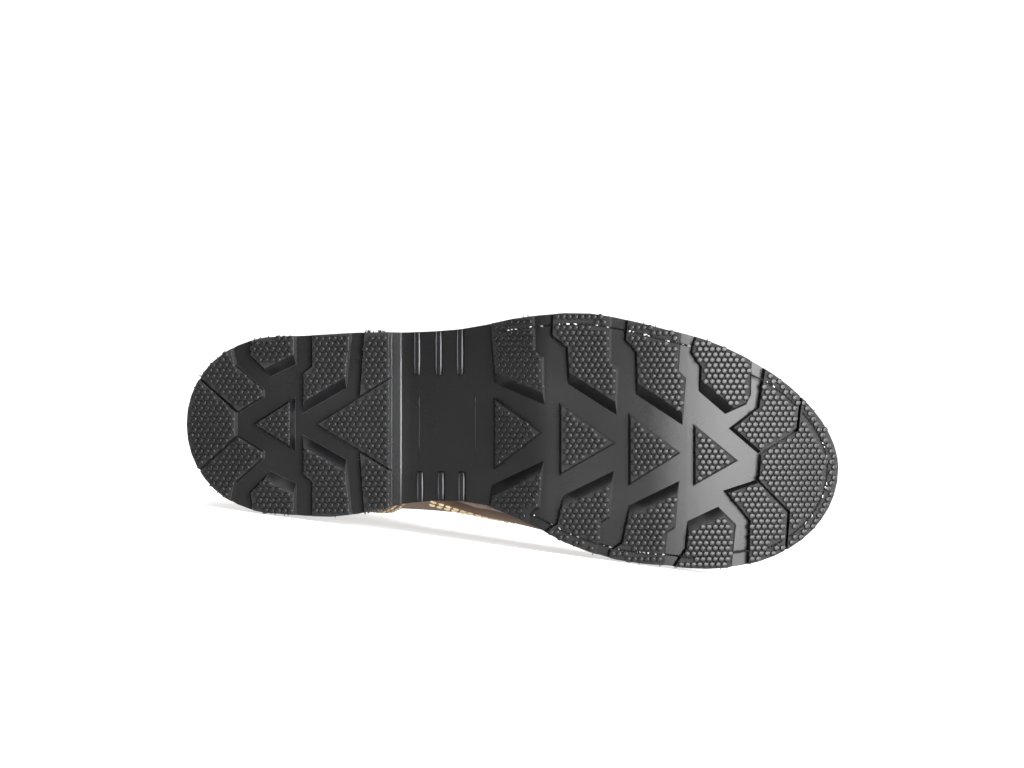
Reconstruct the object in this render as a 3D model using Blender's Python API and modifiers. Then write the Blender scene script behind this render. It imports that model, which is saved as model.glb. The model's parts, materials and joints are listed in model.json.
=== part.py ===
# Moc toe work boot, right foot, lying on its inner side.
# Sizes are millimetres in the boot's own frame until a mesh is made:
# x runs from the back of the heel to the toe, y to the inner (arch) side, z up from the tread.
import math
from collections import namedtuple

import bmesh
import bpy
from mathutils import Matrix, Vector

MM = 0.001
LATERAL = -1
MEDIAL = 1
CLEARANCE = 0.3

SOLE_LENGTH = 302.0
HEEL_ROUND = 43.0
HEEL_POWER = 2.06
TOE_ROUND = 80.0
TOE_POWER = {LATERAL: 1.82, MEDIAL: 2.1}
TOE_SWING = 20.0
SWING_START = 110.0

LUG_DEPTH = 5.0
PLATE_THICKNESS = 6.5
HEEL_RAISE = 17.0
HEEL_BREAST_ROOT = 94.5
HEEL_BREAST_TOP = 98.9
RIB_HEIGHT = 2.2
RIB_WIDTH = 2.4
WELT_THICKNESS = 3.2
WELT_SETBACK = 1.2
FEATHER_LIFT = 0.95
INSOLE_THICKNESS = 6.2
RIB_DRAFT = 0.5
LUG_SUNK = 1.0
PAST_EDGE = 90.0
PAST_HEEL = -20.0
PAST_TOE = 330.0

WALL = 2.6
OVERLAY = 1.5
OVERLAY_LIFT = 0.5
TONGUE_THICKNESS = 3.0
TONGUE_TUCK = 14.0
TONGUE_LEVELS = (8.5, 9.2, 10.0, 11.0, 12.0, 13.0, 14.0, 15.0, 16.0, 17.0, 17.6)
TONGUE_COLUMNS = 8
TONGUE_GAP = 0.75
THROAT_LEVEL = 9
COLLAR_LEVEL = 17
THROAT_HALF_LOW = 13.0
THROAT_HALF_HIGH = 16.0
UPPER_POWER = 2.0
UPPER_HEEL_ROUND = 42.0
UPPER_HEEL_POWER = 2.3
HEEL_STATION = 65.0
WAIST_STATION = 115.0
BALL_STATION = 195.0

EYELET_LEVELS = (10.4, 11.7, 13.0, 14.2, 15.35, 16.5)
EYELET_INSET = 8.0
EYELET_RADIUS = 3.2
EYELET_WIRE = 1.1
LACE_RADIUS = 1.7
LACE_END_INSET = 2.0
LACE_START_RISE = 0.25
LACE_END_DROP = 0.05

# Half widths of the sole to each side of its centre line.
SoleWidth = namedtuple("SoleWidth", "station lateral medial")
SOLE_WIDTHS = [
    SoleWidth(43, 40.5, 41.5),
    SoleWidth(62, 41.2, 42.9),
    SoleWidth(78, 42.3, 41.8),
    SoleWidth(94, 42.5, 38.3),
    SoleWidth(112, 43.0, 36.0),
    SoleWidth(125, 44.2, 35.5),
    SoleWidth(139, 47.4, 36.7),
    SoleWidth(150, 50.8, 40.2),
    SoleWidth(161, 53.6, 44.0),
    SoleWidth(172, 56.1, 48.7),
    SoleWidth(184, 57.9, 51.8),
    SoleWidth(195, 58.2, 53.6),
    SoleWidth(206, 57.6, 54.0),
    SoleWidth(222, 56.0, 53.0),
]

# How far the plate lies above its place at the ball: heel seat, arch and toe spring.
SoleRise = namedtuple("SoleRise", "station rise")
SOLE_RISES = [
    SoleRise(PAST_HEEL, HEEL_RAISE),
    SoleRise(99.5, HEEL_RAISE),
    SoleRise(110, 15.4),
    SoleRise(122, 11.8),
    SoleRise(134, 7.4),
    SoleRise(146, 3.4),
    SoleRise(157, 0.9),
    SoleRise(166, 0.0),
    SoleRise(214, 0.0),
    SoleRise(230, 0.6),
    SoleRise(245, 2.0),
    SoleRise(258, 3.8),
    SoleRise(270, 5.9),
    SoleRise(281, 8.1),
    SoleRise(291, 10.3),
    SoleRise(320, 17.0),
]

# Rings of the upper from the feather line up: back and front ends in side view,
# the length of the rounded front and how much of the arch of the sole the ring keeps.
Ring = namedtuple("Ring", "back_x back_z front_x front_z front_round arch")
RINGS = [
    Ring(5.0, 32.3, 294.0, 26.3, 76, 1.00),
    Ring(2.0, 40.0, 297.0, 33.0, 78, 0.95),
    Ring(1.0, 49.0, 297.0, 41.0, 78, 0.88),
    Ring(1.5, 58.0, 293.5, 50.0, 76, 0.78),
    Ring(3.0, 66.0, 288.5, 58.4, 72, 0.66),
    Ring(5.5, 73.0, 281.0, 64.5, 68, 0.54),
    Ring(7.5, 80.0, 269.0, 69.0, 64, 0.42),
    Ring(9.5, 86.5, 250.0, 72.3, 58, 0.30),
    Ring(11.0, 93.0, 229.0, 75.5, 52, 0.20),
    Ring(12.0, 100.0, 207.0, 78.4, 48, 0.10),
    Ring(12.3, 104.0, 199.5, 81.5, 46, 0.04),
    Ring(12.5, 110.0, 190.0, 87.5, 44, 0.00),
    Ring(12.5, 118.5, 177.0, 97.0, 42, 0.00),
    Ring(12.0, 128.5, 164.0, 109.0, 40, 0.00),
    Ring(11.0, 140.0, 152.5, 123.0, 38, 0.00),
    Ring(10.0, 152.5, 142.5, 139.0, 37, 0.00),
    Ring(8.5, 166.0, 134.0, 157.0, 36, 0.00),
    Ring(7.0, 181.0, 127.0, 178.0, 36, 0.00),
    Ring(6.0, 194.0, 122.5, 193.0, 36, 0.00),
]

# Half widths of the upper at three stations, by height above the feather line.
UpperWidth = namedtuple(
    "UpperWidth",
    "height heel_lateral heel_medial waist_lateral waist_medial ball_lateral ball_medial",
)
UPPER_WIDTHS = [
    UpperWidth(0, 37.0, 38.5, 38.0, 33.0, 51.0, 47.0),
    UpperWidth(12, 38.5, 40.0, 41.0, 40.1, 53.5, 49.5),
    UpperWidth(25, 38.0, 39.0, 41.0, 41.0, 53.0, 48.5),
    UpperWidth(40, 37.0, 37.5, 39.0, 39.5, 49.0, 46.0),
    UpperWidth(60, 36.0, 36.0, 37.0, 36.8, 43.0, 41.0),
    UpperWidth(80, 35.5, 35.5, 36.0, 35.5, 38.0, 37.5),
    UpperWidth(105, 37.5, 37.0, 38.0, 37.5, 38.0, 38.0),
    UpperWidth(130, 40.5, 39.6, 41.0, 40.0, 41.0, 40.5),
    UpperWidth(150, 43.0, 41.8, 43.0, 41.6, 43.0, 42.0),
    UpperWidth(170, 43.5, 42.0, 43.5, 42.0, 43.5, 42.5),
]

# Lug corners at the root: ahead along the boot, out from the centre line and the draft of the wall from there.
Corner = namedtuple("Corner", "ahead out draft")
WALL_DRAFT = 1.0
INNER_DRAFT = 4.8
BROAD_DRAFT = 2.6
TOE_DRAFT = 1.6
SIPE_DRAFT = 0.1

# Side lugs of the forefoot: tip, inner back corner, depth of the notch at the back and how far out it is.
# Skew is how much further ahead a lug lies for each millimetre out.
SideLug = namedtuple("SideLug", "tip back inner notch notch_out skew")
SIDE_LUGS = {
    LATERAL: [
        SideLug(165.5, -23.5, 20.4, 0.0, 0.0, 0.0),
        SideLug(198.0, -23.2, 24.0, 7.4, 40.5, 0.06),
        SideLug(228.0, -22.8, 24.0, 5.5, 43.5, 0.10),
    ],
    MEDIAL: [
        SideLug(165.8, -23.3, 27.0, 0.0, 0.0, -0.06),
        SideLug(198.3, -22.6, 28.0, 5.5, 41.0, -0.06),
        SideLug(228.6, -22.6, 28.0, 5.5, 45.5, -0.06),
    ],
}
SIDE_LUG_TIP = Corner(0.0, 13.0, INNER_DRAFT)
NOTCH_AHEAD = -25.3
NOTCH_SLANT = 4.5
SIDE_LUG_PLAIN_BACK = [Corner(-29.5, PAST_EDGE, WALL_DRAFT)]
SIDE_LUG_FRONT = [
    Corner(-6.0, PAST_EDGE, WALL_DRAFT),
    Corner(-4.2, 38.0, WALL_DRAFT),
    Corner(-0.5, 35.0, WALL_DRAFT),
]

# Centre lugs of the forefoot: triangles that point to the toe.
Triangle = namedtuple("Triangle", "base tip half_base base_shift")
CENTRE_LUGS = [
    Triangle(141.7, 164.6, 17.0, 3.0),
    Triangle(172.2, 198.6, 17.0, 2.0),
    Triangle(204.2, 228.4, 17.0, 2.0),
    Triangle(234.2, 255.2, 14.5, 0.0),
]

# Lugs of the fore part that follow the turned toe, in x and y of the boot.
FOURTH_LATERAL_LUG = [
    Corner(232.5, -33.2, WALL_DRAFT),
    Corner(237.1, -26.3, WALL_DRAFT),
    Corner(236.7, -15.2, INNER_DRAFT),
    Corner(249.1, -4.6, WALL_DRAFT),
    Corner(259.0, -9.0, WALL_DRAFT),
    Corner(261.2, -13.5, WALL_DRAFT),
    Corner(262.4, -62.0, WALL_DRAFT),
    Corner(241.0, -62.0, WALL_DRAFT),
]
FOURTH_MEDIAL_LUG = [
    Corner(231.5, 45.0, INNER_DRAFT),
    Corner(245.9, 38.3, WALL_DRAFT),
    Corner(254.2, 46.6, WALL_DRAFT),
    Corner(249.7, PAST_EDGE, WALL_DRAFT),
    Corner(222.0, PAST_EDGE, WALL_DRAFT),
    Corner(222.0, 69.6, WALL_DRAFT),
    Corner(230.2, 57.3, WALL_DRAFT),
]
TOE_LATERAL_LUG = [
    Corner(250.8, 2.1, TOE_DRAFT),
    Corner(264.4, 13.7, SIPE_DRAFT),
    Corner(282.2, 2.1, SIPE_DRAFT),
    Corner(289.0, -57.0, WALL_DRAFT),
    Corner(271.7, -57.0, WALL_DRAFT),
    Corner(263.9, -7.9, WALL_DRAFT),
]
TOE_MEDIAL_LUG = [
    Corner(248.2, 30.9, TOE_DRAFT),
    Corner(263.2, 26.0, SIPE_DRAFT),
    Corner(278.0, 40.9, SIPE_DRAFT),
    Corner(274.8, PAST_EDGE, WALL_DRAFT),
    Corner(258.0, PAST_EDGE, WALL_DRAFT),
    Corner(259.8, 45.0, WALL_DRAFT),
]
TOE_CENTRE_LUG = [
    Corner(264.8, 14.6, SIPE_DRAFT),
    Corner(283.2, 2.9, SIPE_DRAFT),
    Corner(290.0, -57.0, WALL_DRAFT),
    Corner(PAST_TOE, -57.0, WALL_DRAFT),
    Corner(PAST_TOE, PAST_EDGE, WALL_DRAFT),
    Corner(275.8, PAST_EDGE, SIPE_DRAFT),
    Corner(279.1, 40.6, SIPE_DRAFT),
    Corner(264.0, 25.4, WALL_DRAFT),
]

# Lugs of the heel that are whole across the centre line.
HEEL_BACK_LUG = [
    Corner(23.2, -5.0, WALL_DRAFT),
    Corner(23.2, 5.0, SIPE_DRAFT),
    Corner(-10.0, 35.0, WALL_DRAFT),
    Corner(-10.0, -35.0, SIPE_DRAFT),
]
HEEL_CENTRE_LUG = [
    Corner(30.0, 0.0, WALL_DRAFT),
    Corner(50.0, 12.6, BROAD_DRAFT),
    Corner(50.0, -12.6, WALL_DRAFT),
]
HEEL_FRONT_LUG = [
    Corner(60.7, 0.0, SIPE_DRAFT),
    Corner(HEEL_BREAST_ROOT, 21.1, WALL_DRAFT),
    Corner(HEEL_BREAST_ROOT, -21.1, SIPE_DRAFT),
]
# Lugs of the heel that stand on both sides.
HEEL_SIDE_LUGS = [
    [
        Corner(24.5, 5.4, SIPE_DRAFT),
        Corner(-9.1, 35.6, WALL_DRAFT),
        Corner(17.0, 56.0, WALL_DRAFT),
        Corner(22.9, 27.5, WALL_DRAFT),
        Corner(35.8, 15.9, WALL_DRAFT),
        Corner(35.8, 12.5, WALL_DRAFT),
    ],
    [
        Corner(38.4, 21.8, WALL_DRAFT),
        Corner(28.6, 31.6, WALL_DRAFT),
        Corner(32.8, 60.0, WALL_DRAFT),
        Corner(50.4, 60.0, WALL_DRAFT),
        Corner(50.4, 27.6, INNER_DRAFT),
    ],
    [
        Corner(53.2, 4.8, WALL_DRAFT),
        Corner(53.2, 24.0, WALL_DRAFT),
        Corner(57.2, 27.0, WALL_DRAFT),
        Corner(57.2, 60.0, WALL_DRAFT),
        Corner(78.2, 60.0, WALL_DRAFT),
        Corner(73.6, 16.6, INNER_DRAFT),
    ],
    [
        Corner(79.1, 12.6, WALL_DRAFT),
        Corner(82.6, 60.0, WALL_DRAFT),
        Corner(HEEL_BREAST_ROOT, 60.0, WALL_DRAFT),
        Corner(HEEL_BREAST_ROOT, 22.2, SIPE_DRAFT),
    ],
]

# Ribs across the waist, from the edge inwards.
Rib = namedtuple("Rib", "station side inner")
WAIST_RIBS = [
    Rib(106.0, LATERAL, 22.6),
    Rib(116.1, LATERAL, 22.6),
    Rib(126.1, LATERAL, 22.6),
    Rib(107.4, MEDIAL, 22.2),
    Rib(117.1, MEDIAL, 22.2),
    Rib(126.8, MEDIAL, 22.2),
]

# Side-view outlines of the overlays and the plan of the moc seam.
SidePoint = namedtuple("SidePoint", "x z")
EYESTAY = [
    SidePoint(205, 58),
    SidePoint(188, 64),
    SidePoint(168, 75),
    SidePoint(148, 92),
    SidePoint(130, 112),
    SidePoint(116, 135),
    SidePoint(106, 158),
    SidePoint(101, 177.5),
    SidePoint(150, 179.0),
    SidePoint(205, 130),
]
HEEL_COUNTER = [
    SidePoint(PAST_HEEL, 33.2),
    SidePoint(103, 33.2),
    SidePoint(95, 46),
    SidePoint(82, 67),
    SidePoint(60, 86),
    SidePoint(32, 99),
    SidePoint(PAST_HEEL, 107),
]
MocWidth = namedtuple("MocWidth", "station half")
MOC_SEAM = [
    MocWidth(206.5, 27.0),
    MocWidth(216, 31.0),
    MocWidth(230, 34.5),
    MocWidth(245, 35.0),
    MocWidth(259, 32.0),
    MocWidth(271, 25.5),
    MocWidth(279.5, 16.0),
    MocWidth(283.5, 6.0),
]
MOC_SEAM_WIDTH = 4.5
MOC_SEAM_LOW = 45.0
MOC_SEAM_HIGH = 110.0

# How far each eyestay reaches to the middle of the throat, and which parts of the boot touch the floor.
EYESTAY_INNER = {LATERAL: 2.0, MEDIAL: 11.5}
BALL_FROM_X = 150.0
COLLAR_FROM_Z = 130.0


def smoothstep(t):
    t = min(max(t, 0.0), 1.0)
    return t * t * (3.0 - 2.0 * t)


# Smooth reading of one named column at a value of the key column.
def read(rows, key, value, column):
    keys = [getattr(row, key) for row in rows]
    values = [getattr(row, column) for row in rows]
    if value <= keys[0]:
        return values[0]
    if value >= keys[-1]:
        return values[-1]
    last = len(rows) - 1
    i = max(k for k in range(last) if keys[k] <= value)
    before = max(i - 1, 0)
    after = min(i + 2, last)
    span = keys[i + 1] - keys[i]
    t = (value - keys[i]) / span
    slope_start = span * (values[i + 1] - values[before]) / (keys[i + 1] - keys[before])
    slope_end = span * (values[after] - values[i]) / (keys[after] - keys[i])
    start_share = (1 + 2 * t) * (1 - t) ** 2
    end_share = t * t * (3 - 2 * t)
    bend = t * (1 - t) ** 2 * slope_start - t * t * (1 - t) * slope_end
    return start_share * values[i] + end_share * values[i + 1] + bend


# Straight reading, so that flat faces between two stations stay flat.
def sole_rise(x):
    for low, high in zip(SOLE_RISES, SOLE_RISES[1:]):
        if x <= high.station:
            share = (x - low.station) / (high.station - low.station)
            return low.rise + share * (high.rise - low.rise)
    return SOLE_RISES[-1].rise


def centre_line(x):
    return TOE_SWING * smoothstep((x - SWING_START) / (SOLE_LENGTH - SWING_START))


def round_end(share, power):
    return max(0.0, 1.0 - share ** power) ** (1.0 / power)


def sole_half_width(x, side):
    column = "medial" if side == MEDIAL else "lateral"
    half = read(SOLE_WIDTHS, "station", x, column)
    if x < HEEL_ROUND:
        half *= round_end((HEEL_ROUND - x) / HEEL_ROUND, HEEL_POWER)
    toe_start = SOLE_LENGTH - TOE_ROUND
    if x > toe_start:
        half *= round_end((x - toe_start) / TOE_ROUND, TOE_POWER[side])
    return half


# Stations from heel to toe, close together where the ends are round.
def end_stations(start, length, count, forward):
    turns = [math.pi / 2 * i / count for i in range(count)]
    if forward:
        return [start + length * math.sin(turn) for turn in turns]
    return [start + length * (1 - math.cos(turn)) for turn in turns]


def sole_outline(inset=0.0):
    middle_steps = 15
    middle_length = SOLE_LENGTH - TOE_ROUND - HEEL_ROUND
    stations = end_stations(0.0, HEEL_ROUND, 10, False)
    stations += [HEEL_ROUND + middle_length * i / middle_steps for i in range(middle_steps)]
    stations += end_stations(SOLE_LENGTH - TOE_ROUND, TOE_ROUND, 14, True)
    medial = [(x, centre_line(x) + sole_half_width(x, MEDIAL)) for x in stations]
    lateral = [(x, centre_line(x) - sole_half_width(x, LATERAL)) for x in stations[1:]]
    tip = (SOLE_LENGTH, centre_line(SOLE_LENGTH))
    loop = lateral + [tip] + medial[::-1]
    return inset_loop(loop, inset)


# Loop moved inwards along its own normals; loops run against the clock.
def inset_loop(loop, inset):
    if inset == 0.0:
        return loop
    moved = []
    for i, (x, y) in enumerate(loop):
        before = loop[i - 1]
        after = loop[(i + 1) % len(loop)]
        along = Vector((after[0] - before[0], after[1] - before[1])).normalized()
        moved.append((x - along.y * inset, y + along.x * inset))
    return moved


def plate_top(x):
    return LUG_DEPTH + PLATE_THICKNESS + sole_rise(x)


def feather_line(x):
    return plate_top(x) + CLEARANCE + WELT_THICKNESS + FEATHER_LIFT


def upper_half_width(x, height, side):
    name = "medial" if side == MEDIAL else "lateral"
    heel = read(UPPER_WIDTHS, "height", height, "heel_" + name)
    waist = read(UPPER_WIDTHS, "height", height, "waist_" + name)
    ball = read(UPPER_WIDTHS, "height", height, "ball_" + name)
    if x < WAIST_STATION:
        share = smoothstep((x - HEEL_STATION) / (WAIST_STATION - HEEL_STATION))
        return heel + share * (waist - heel)
    share = smoothstep((x - WAIST_STATION) / (BALL_STATION - WAIST_STATION))
    return waist + share * (ball - waist)


IndexedRing = namedtuple("IndexedRing", ("level",) + Ring._fields)
LEVEL_RINGS = [IndexedRing(level, *ring) for level, ring in enumerate(RINGS)]


# Point of the closed outer form. around goes from 0 at the front centre
# over 1 and 2 at the ends of the side to 3 at the back centre.
def upper_point(level, side, around):
    ring = Ring(*[read(LEVEL_RINGS, "level", level, column) for column in Ring._fields])
    if around <= 1.0:
        turn = math.cos(around * math.pi / 2)
        x = ring.front_x - ring.front_round * (1.0 - turn)
        roundness = round_end(turn, UPPER_POWER)
    elif around <= 2.0:
        start = ring.front_x - ring.front_round
        end = ring.back_x + UPPER_HEEL_ROUND
        x = start + (around - 1.0) * (end - start)
        roundness = 1.0
    else:
        turn = math.cos((3.0 - around) * math.pi / 2)
        x = ring.back_x + UPPER_HEEL_ROUND * (1.0 - turn)
        roundness = round_end(turn, UPPER_HEEL_POWER)
    share = (x - ring.back_x) / (ring.front_x - ring.back_x)
    z = ring.back_z + share * (ring.front_z - ring.back_z)
    heel_ring = RINGS[0]
    foot_share = (x - heel_ring.back_x) / (heel_ring.front_x - heel_ring.back_x)
    straight = heel_ring.back_z + foot_share * (heel_ring.front_z - heel_ring.back_z)
    z += ring.arch * (feather_line(x) - straight)
    half = upper_half_width(x, z - feather_line(x), side)
    return Vector((x, centre_line(x) + side * half * roundness, z))


def upper_normal(level, side, around):
    step = 0.02
    low = min(max(around - step, 0.001), 3.0 - 2 * step)
    forward = upper_point(level, side, low + 2 * step) - upper_point(level, side, low)
    upward = upper_point(level + step, side, around) - upper_point(level - step, side, around)
    return (side * forward.cross(upward)).normalized()


def offset_point(level, side, around, offset):
    return upper_point(level, side, around) + offset * upper_normal(level, side, around)


# Place on the front of a ring at a given distance from the centre line.
def around_at(level, side, out):
    low = 0.0
    high = 1.0
    for _ in range(24):
        middle = (low + high) / 2
        point = upper_point(level, side, middle)
        if abs(point.y - centre_line(point.x)) < out:
            low = middle
        else:
            high = middle
    return high


def throat_half(level):
    share = (level - THROAT_LEVEL) / (COLLAR_LEVEL - THROAT_LEVEL)
    return THROAT_HALF_LOW + share * (THROAT_HALF_HIGH - THROAT_HALF_LOW)


def new_object(name, bm):
    bmesh.ops.recalc_face_normals(bm, faces=bm.faces)
    mesh = bpy.data.meshes.new(name)
    bm.to_mesh(mesh)
    bm.free()
    mesh.transform(Matrix.Scale(MM, 4))
    obj = bpy.data.objects.new(name, mesh)
    bpy.data.collections["moc_toe_work_boot"].objects.link(obj)
    return obj


# The object's modifiers become its mesh.
def settle(obj):
    bpy.context.view_layer.update()
    seen = obj.evaluated_get(bpy.context.evaluated_depsgraph_get())
    mesh = bpy.data.meshes.new_from_object(seen)
    obj.modifiers.clear()
    obj.data = mesh
    mesh.name = obj.name


def combine(obj, tool, operation):
    modifier = obj.modifiers.new(operation.title(), "BOOLEAN")
    modifier.operation = operation
    modifier.solver = "EXACT"
    modifier.use_self = True
    modifier.object = tool
    settle(obj)
    bpy.data.objects.remove(tool)


def solidify(obj, thickness, offset):
    modifier = obj.modifiers.new("Wall", "SOLIDIFY")
    modifier.thickness = thickness * MM
    modifier.offset = offset
    modifier.use_quality_normals = True
    settle(obj)


# Block between two loops of equal count at two heights.
def add_block(bm, low_loop, low_z, high_loop, high_z):
    low = [bm.verts.new((x, y, low_z)) for x, y in low_loop]
    high = [bm.verts.new((x, y, high_z)) for x, y in high_loop]
    bm.faces.new(low[::-1])
    bm.faces.new(high)
    for i in range(len(low)):
        j = (i + 1) % len(low)
        bm.faces.new((low[i], low[j], high[j], high[i]))


def block(name, loop, low_z, high_z):
    bm = bmesh.new()
    add_block(bm, loop, low_z, loop, high_z)
    return new_object(name, bm)


def signed_area(corners):
    area = 0.0
    for a, b in zip(corners, corners[1:] + corners[:1]):
        area += a.ahead * b.out - b.ahead * a.out
    return area / 2


# Corners against the clock, each wall keeping its own draft.
def against_clock(corners):
    if signed_area(corners) > 0:
        return corners
    turned = corners[::-1]
    drafts = [corner.draft for corner in turned]
    drafts = drafts[1:] + drafts[:1]
    return [Corner(c.ahead, c.out, draft) for c, draft in zip(turned, drafts)]


# Loop whose walls are moved out by their draft times a share.
def drafted_loop(corners, share):
    lines = []
    for a, b in zip(corners, corners[1:] + corners[:1]):
        along = Vector((b.ahead - a.ahead, b.out - a.out)).normalized()
        outward = Vector((along.y, -along.x))
        start = Vector((a.ahead, a.out)) + outward * a.draft * share
        lines.append((start, along))
    loop = []
    for (p, d), (q, e) in zip(lines[-1:] + lines[:-1], lines):
        travel = (q - p).cross(e) / d.cross(e)
        meet = p + d * travel
        loop.append((meet.x, meet.y))
    return loop


# Lug from the tread to a little way inside the plate.
def add_lug(bm, corners, depth=LUG_DEPTH):
    corners = against_clock(corners)
    tread = drafted_loop(corners, -1.0)
    root = drafted_loop(corners, LUG_SUNK / depth)
    add_block(bm, tread, LUG_DEPTH - depth, root, LUG_DEPTH + LUG_SUNK)


def notched_back(lug):
    back = NOTCH_AHEAD - lug.notch
    return [
        Corner(NOTCH_AHEAD, lug.notch_out, WALL_DRAFT),
        Corner(back, lug.notch_out + NOTCH_SLANT, WALL_DRAFT),
        Corner(back, PAST_EDGE, WALL_DRAFT),
    ]


def side_lug(lug, side):
    back = notched_back(lug) if lug.notch else SIDE_LUG_PLAIN_BACK
    corners = [SIDE_LUG_TIP, Corner(lug.back, lug.inner, WALL_DRAFT)] + back + SIDE_LUG_FRONT
    placed = []
    for corner in corners:
        x = lug.tip + corner.ahead + lug.skew * corner.out
        placed.append(Corner(x, centre_line(x) + side * corner.out, corner.draft))
    return placed


def centre_lug(lug):
    base = centre_line(lug.base) + lug.base_shift
    return [
        Corner(lug.tip, centre_line(lug.tip), WALL_DRAFT),
        Corner(lug.base, base + lug.half_base, WALL_DRAFT),
        Corner(lug.base, base - lug.half_base, WALL_DRAFT),
    ]


def waist_rib(rib):
    half = RIB_WIDTH / 2
    outer = rib.side * PAST_EDGE
    inner = rib.side * rib.inner
    return [
        Corner(rib.station - half, inner, RIB_DRAFT),
        Corner(rib.station + half, inner, RIB_DRAFT),
        Corner(rib.station + half, outer, RIB_DRAFT),
        Corner(rib.station - half, outer, RIB_DRAFT),
    ]


# Oblong from behind the heel to a front end, wider than the sole.
def oblong(front):
    return [(PAST_HEEL, -PAST_EDGE), (front, -PAST_EDGE), (front, PAST_EDGE), (PAST_HEEL, PAST_EDGE)]


# Upright block with the sole's outline, higher than the sole.
def edge_block():
    return block("edge", sole_outline(), -LUG_DEPTH, PLATE_THICKNESS + 2 * HEEL_RAISE)


# Cuts at the stations of the sole's profile, then lifts every point by it.
def follow_sole(obj):
    bm = bmesh.new()
    bm.from_mesh(obj.data)
    for row in SOLE_RISES[1:-1]:
        everything = bm.verts[:] + bm.edges[:] + bm.faces[:]
        place = Vector((row.station * MM, 0, 0))
        bmesh.ops.bisect_plane(bm, geom=everything, plane_co=place, plane_no=Vector((1, 0, 0)))
    for vert in bm.verts:
        vert.co.z += sole_rise(vert.co.x / MM) * MM
    tidy(bm)
    bm.to_mesh(obj.data)
    bm.free()


def tidy(bm):
    bmesh.ops.remove_doubles(bm, verts=bm.verts, dist=0.02 * MM)
    bmesh.ops.dissolve_degenerate(bm, edges=bm.edges, dist=0.01 * MM)


def make_outsole():
    outsole = block("outsole", oblong(PAST_TOE), LUG_DEPTH, LUG_DEPTH + PLATE_THICKNESS)
    bm = bmesh.new()
    for side in (LATERAL, MEDIAL):
        for lug in SIDE_LUGS[side]:
            add_lug(bm, side_lug(lug, side))
    for lug in CENTRE_LUGS:
        add_lug(bm, centre_lug(lug))
    for corners in (FOURTH_LATERAL_LUG, FOURTH_MEDIAL_LUG):
        add_lug(bm, corners)
    for corners in (TOE_LATERAL_LUG, TOE_MEDIAL_LUG, TOE_CENTRE_LUG):
        add_lug(bm, corners)
    for rib in WAIST_RIBS:
        add_lug(bm, waist_rib(rib), RIB_HEIGHT)
    combine(outsole, new_object("lugs", bm), "UNION")
    combine(outsole, edge_block(), "INTERSECT")
    follow_sole(outsole)
    return outsole


def make_heel():
    top = LUG_DEPTH + HEEL_RAISE - CLEARANCE
    bm = bmesh.new()
    add_block(bm, oblong(HEEL_BREAST_ROOT + CLEARANCE), LUG_DEPTH, oblong(HEEL_BREAST_TOP), top)
    heel = new_object("heel", bm)
    bm = bmesh.new()
    for corners in (HEEL_BACK_LUG, HEEL_CENTRE_LUG, HEEL_FRONT_LUG):
        add_lug(bm, corners)
    for corners in HEEL_SIDE_LUGS:
        for side in (LATERAL, MEDIAL):
            add_lug(bm, [Corner(c.ahead, side * c.out, c.draft) for c in corners])
    combine(heel, new_object("lugs", bm), "UNION")
    combine(heel, edge_block(), "INTERSECT")
    bm = bmesh.new()
    bm.from_mesh(heel.data)
    tidy(bm)
    bm.to_mesh(heel.data)
    bm.free()
    return heel


AROUND_STEPS = [i / 9 for i in range(9)] + [1 + i / 6 for i in range(6)] + [2 + i / 7 for i in range(8)]


def foot_outline(inset):
    lateral = [upper_point(0, LATERAL, around) for around in AROUND_STEPS]
    medial = [upper_point(0, MEDIAL, around) for around in AROUND_STEPS[1:-1]]
    loop = [(point.x, point.y) for point in lateral[::-1] + medial]
    return inset_loop(loop, inset)


def make_welt():
    low = LUG_DEPTH + PLATE_THICKNESS + CLEARANCE
    welt = block("welt", sole_outline(WELT_SETBACK), low, low + WELT_THICKNESS)
    inside = block("inside", foot_outline(WALL + CLEARANCE), 0.0, low + 2 * WELT_THICKNESS)
    combine(welt, inside, "DIFFERENCE")
    follow_sole(welt)
    return welt


def make_insole():
    low = LUG_DEPTH + PLATE_THICKNESS + CLEARANCE
    outline = foot_outline(WALL + 3 * CLEARANCE)
    insole = block("insole", outline, low, low + INSOLE_THICKNESS)
    follow_sole(insole)
    return insole


# Sheet on the upper's form, open at the throat above the throat level.
def upper_sheet(name, offset):
    bm = bmesh.new()
    rows = []
    for level in range(COLLAR_LEVEL + 1):
        row = []
        for side, steps in ((MEDIAL, AROUND_STEPS), (LATERAL, AROUND_STEPS[-2::-1])):
            start = 0.0
            if level > THROAT_LEVEL:
                start = around_at(level, side, throat_half(level))
            for step in steps:
                around = step if step > 1.0 else start + (1.0 - start) * step
                row.append(bm.verts.new(offset_point(level, side, around, offset)))
        rows.append(row)
    for low, high in zip(rows, rows[1:]):
        for i in range(len(low) - 1):
            bm.faces.new((low[i], low[i + 1], high[i + 1], high[i]))
    bmesh.ops.remove_doubles(bm, verts=bm.verts, dist=0.05)
    return new_object(name, bm)


# Outward sheet, checked against the collar's back, thickened to one side.
def thicken(obj, thickness, outward):
    bm = bmesh.new()
    bm.from_mesh(obj.data)
    bm.faces.ensure_lookup_table()
    lowest = min(bm.faces, key=lambda face: face.calc_center_median().x)
    if lowest.normal.x > 0:
        bmesh.ops.reverse_faces(bm, faces=bm.faces)
    bm.to_mesh(obj.data)
    bm.free()
    solidify(obj, thickness, 1.0 if outward else -1.0)


def make_upper():
    upper = upper_sheet("upper", 0.0)
    thicken(upper, WALL, False)
    return upper


def overlay_shell(name):
    shell = upper_sheet(name, OVERLAY_LIFT)
    thicken(shell, OVERLAY, True)
    return shell


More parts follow.
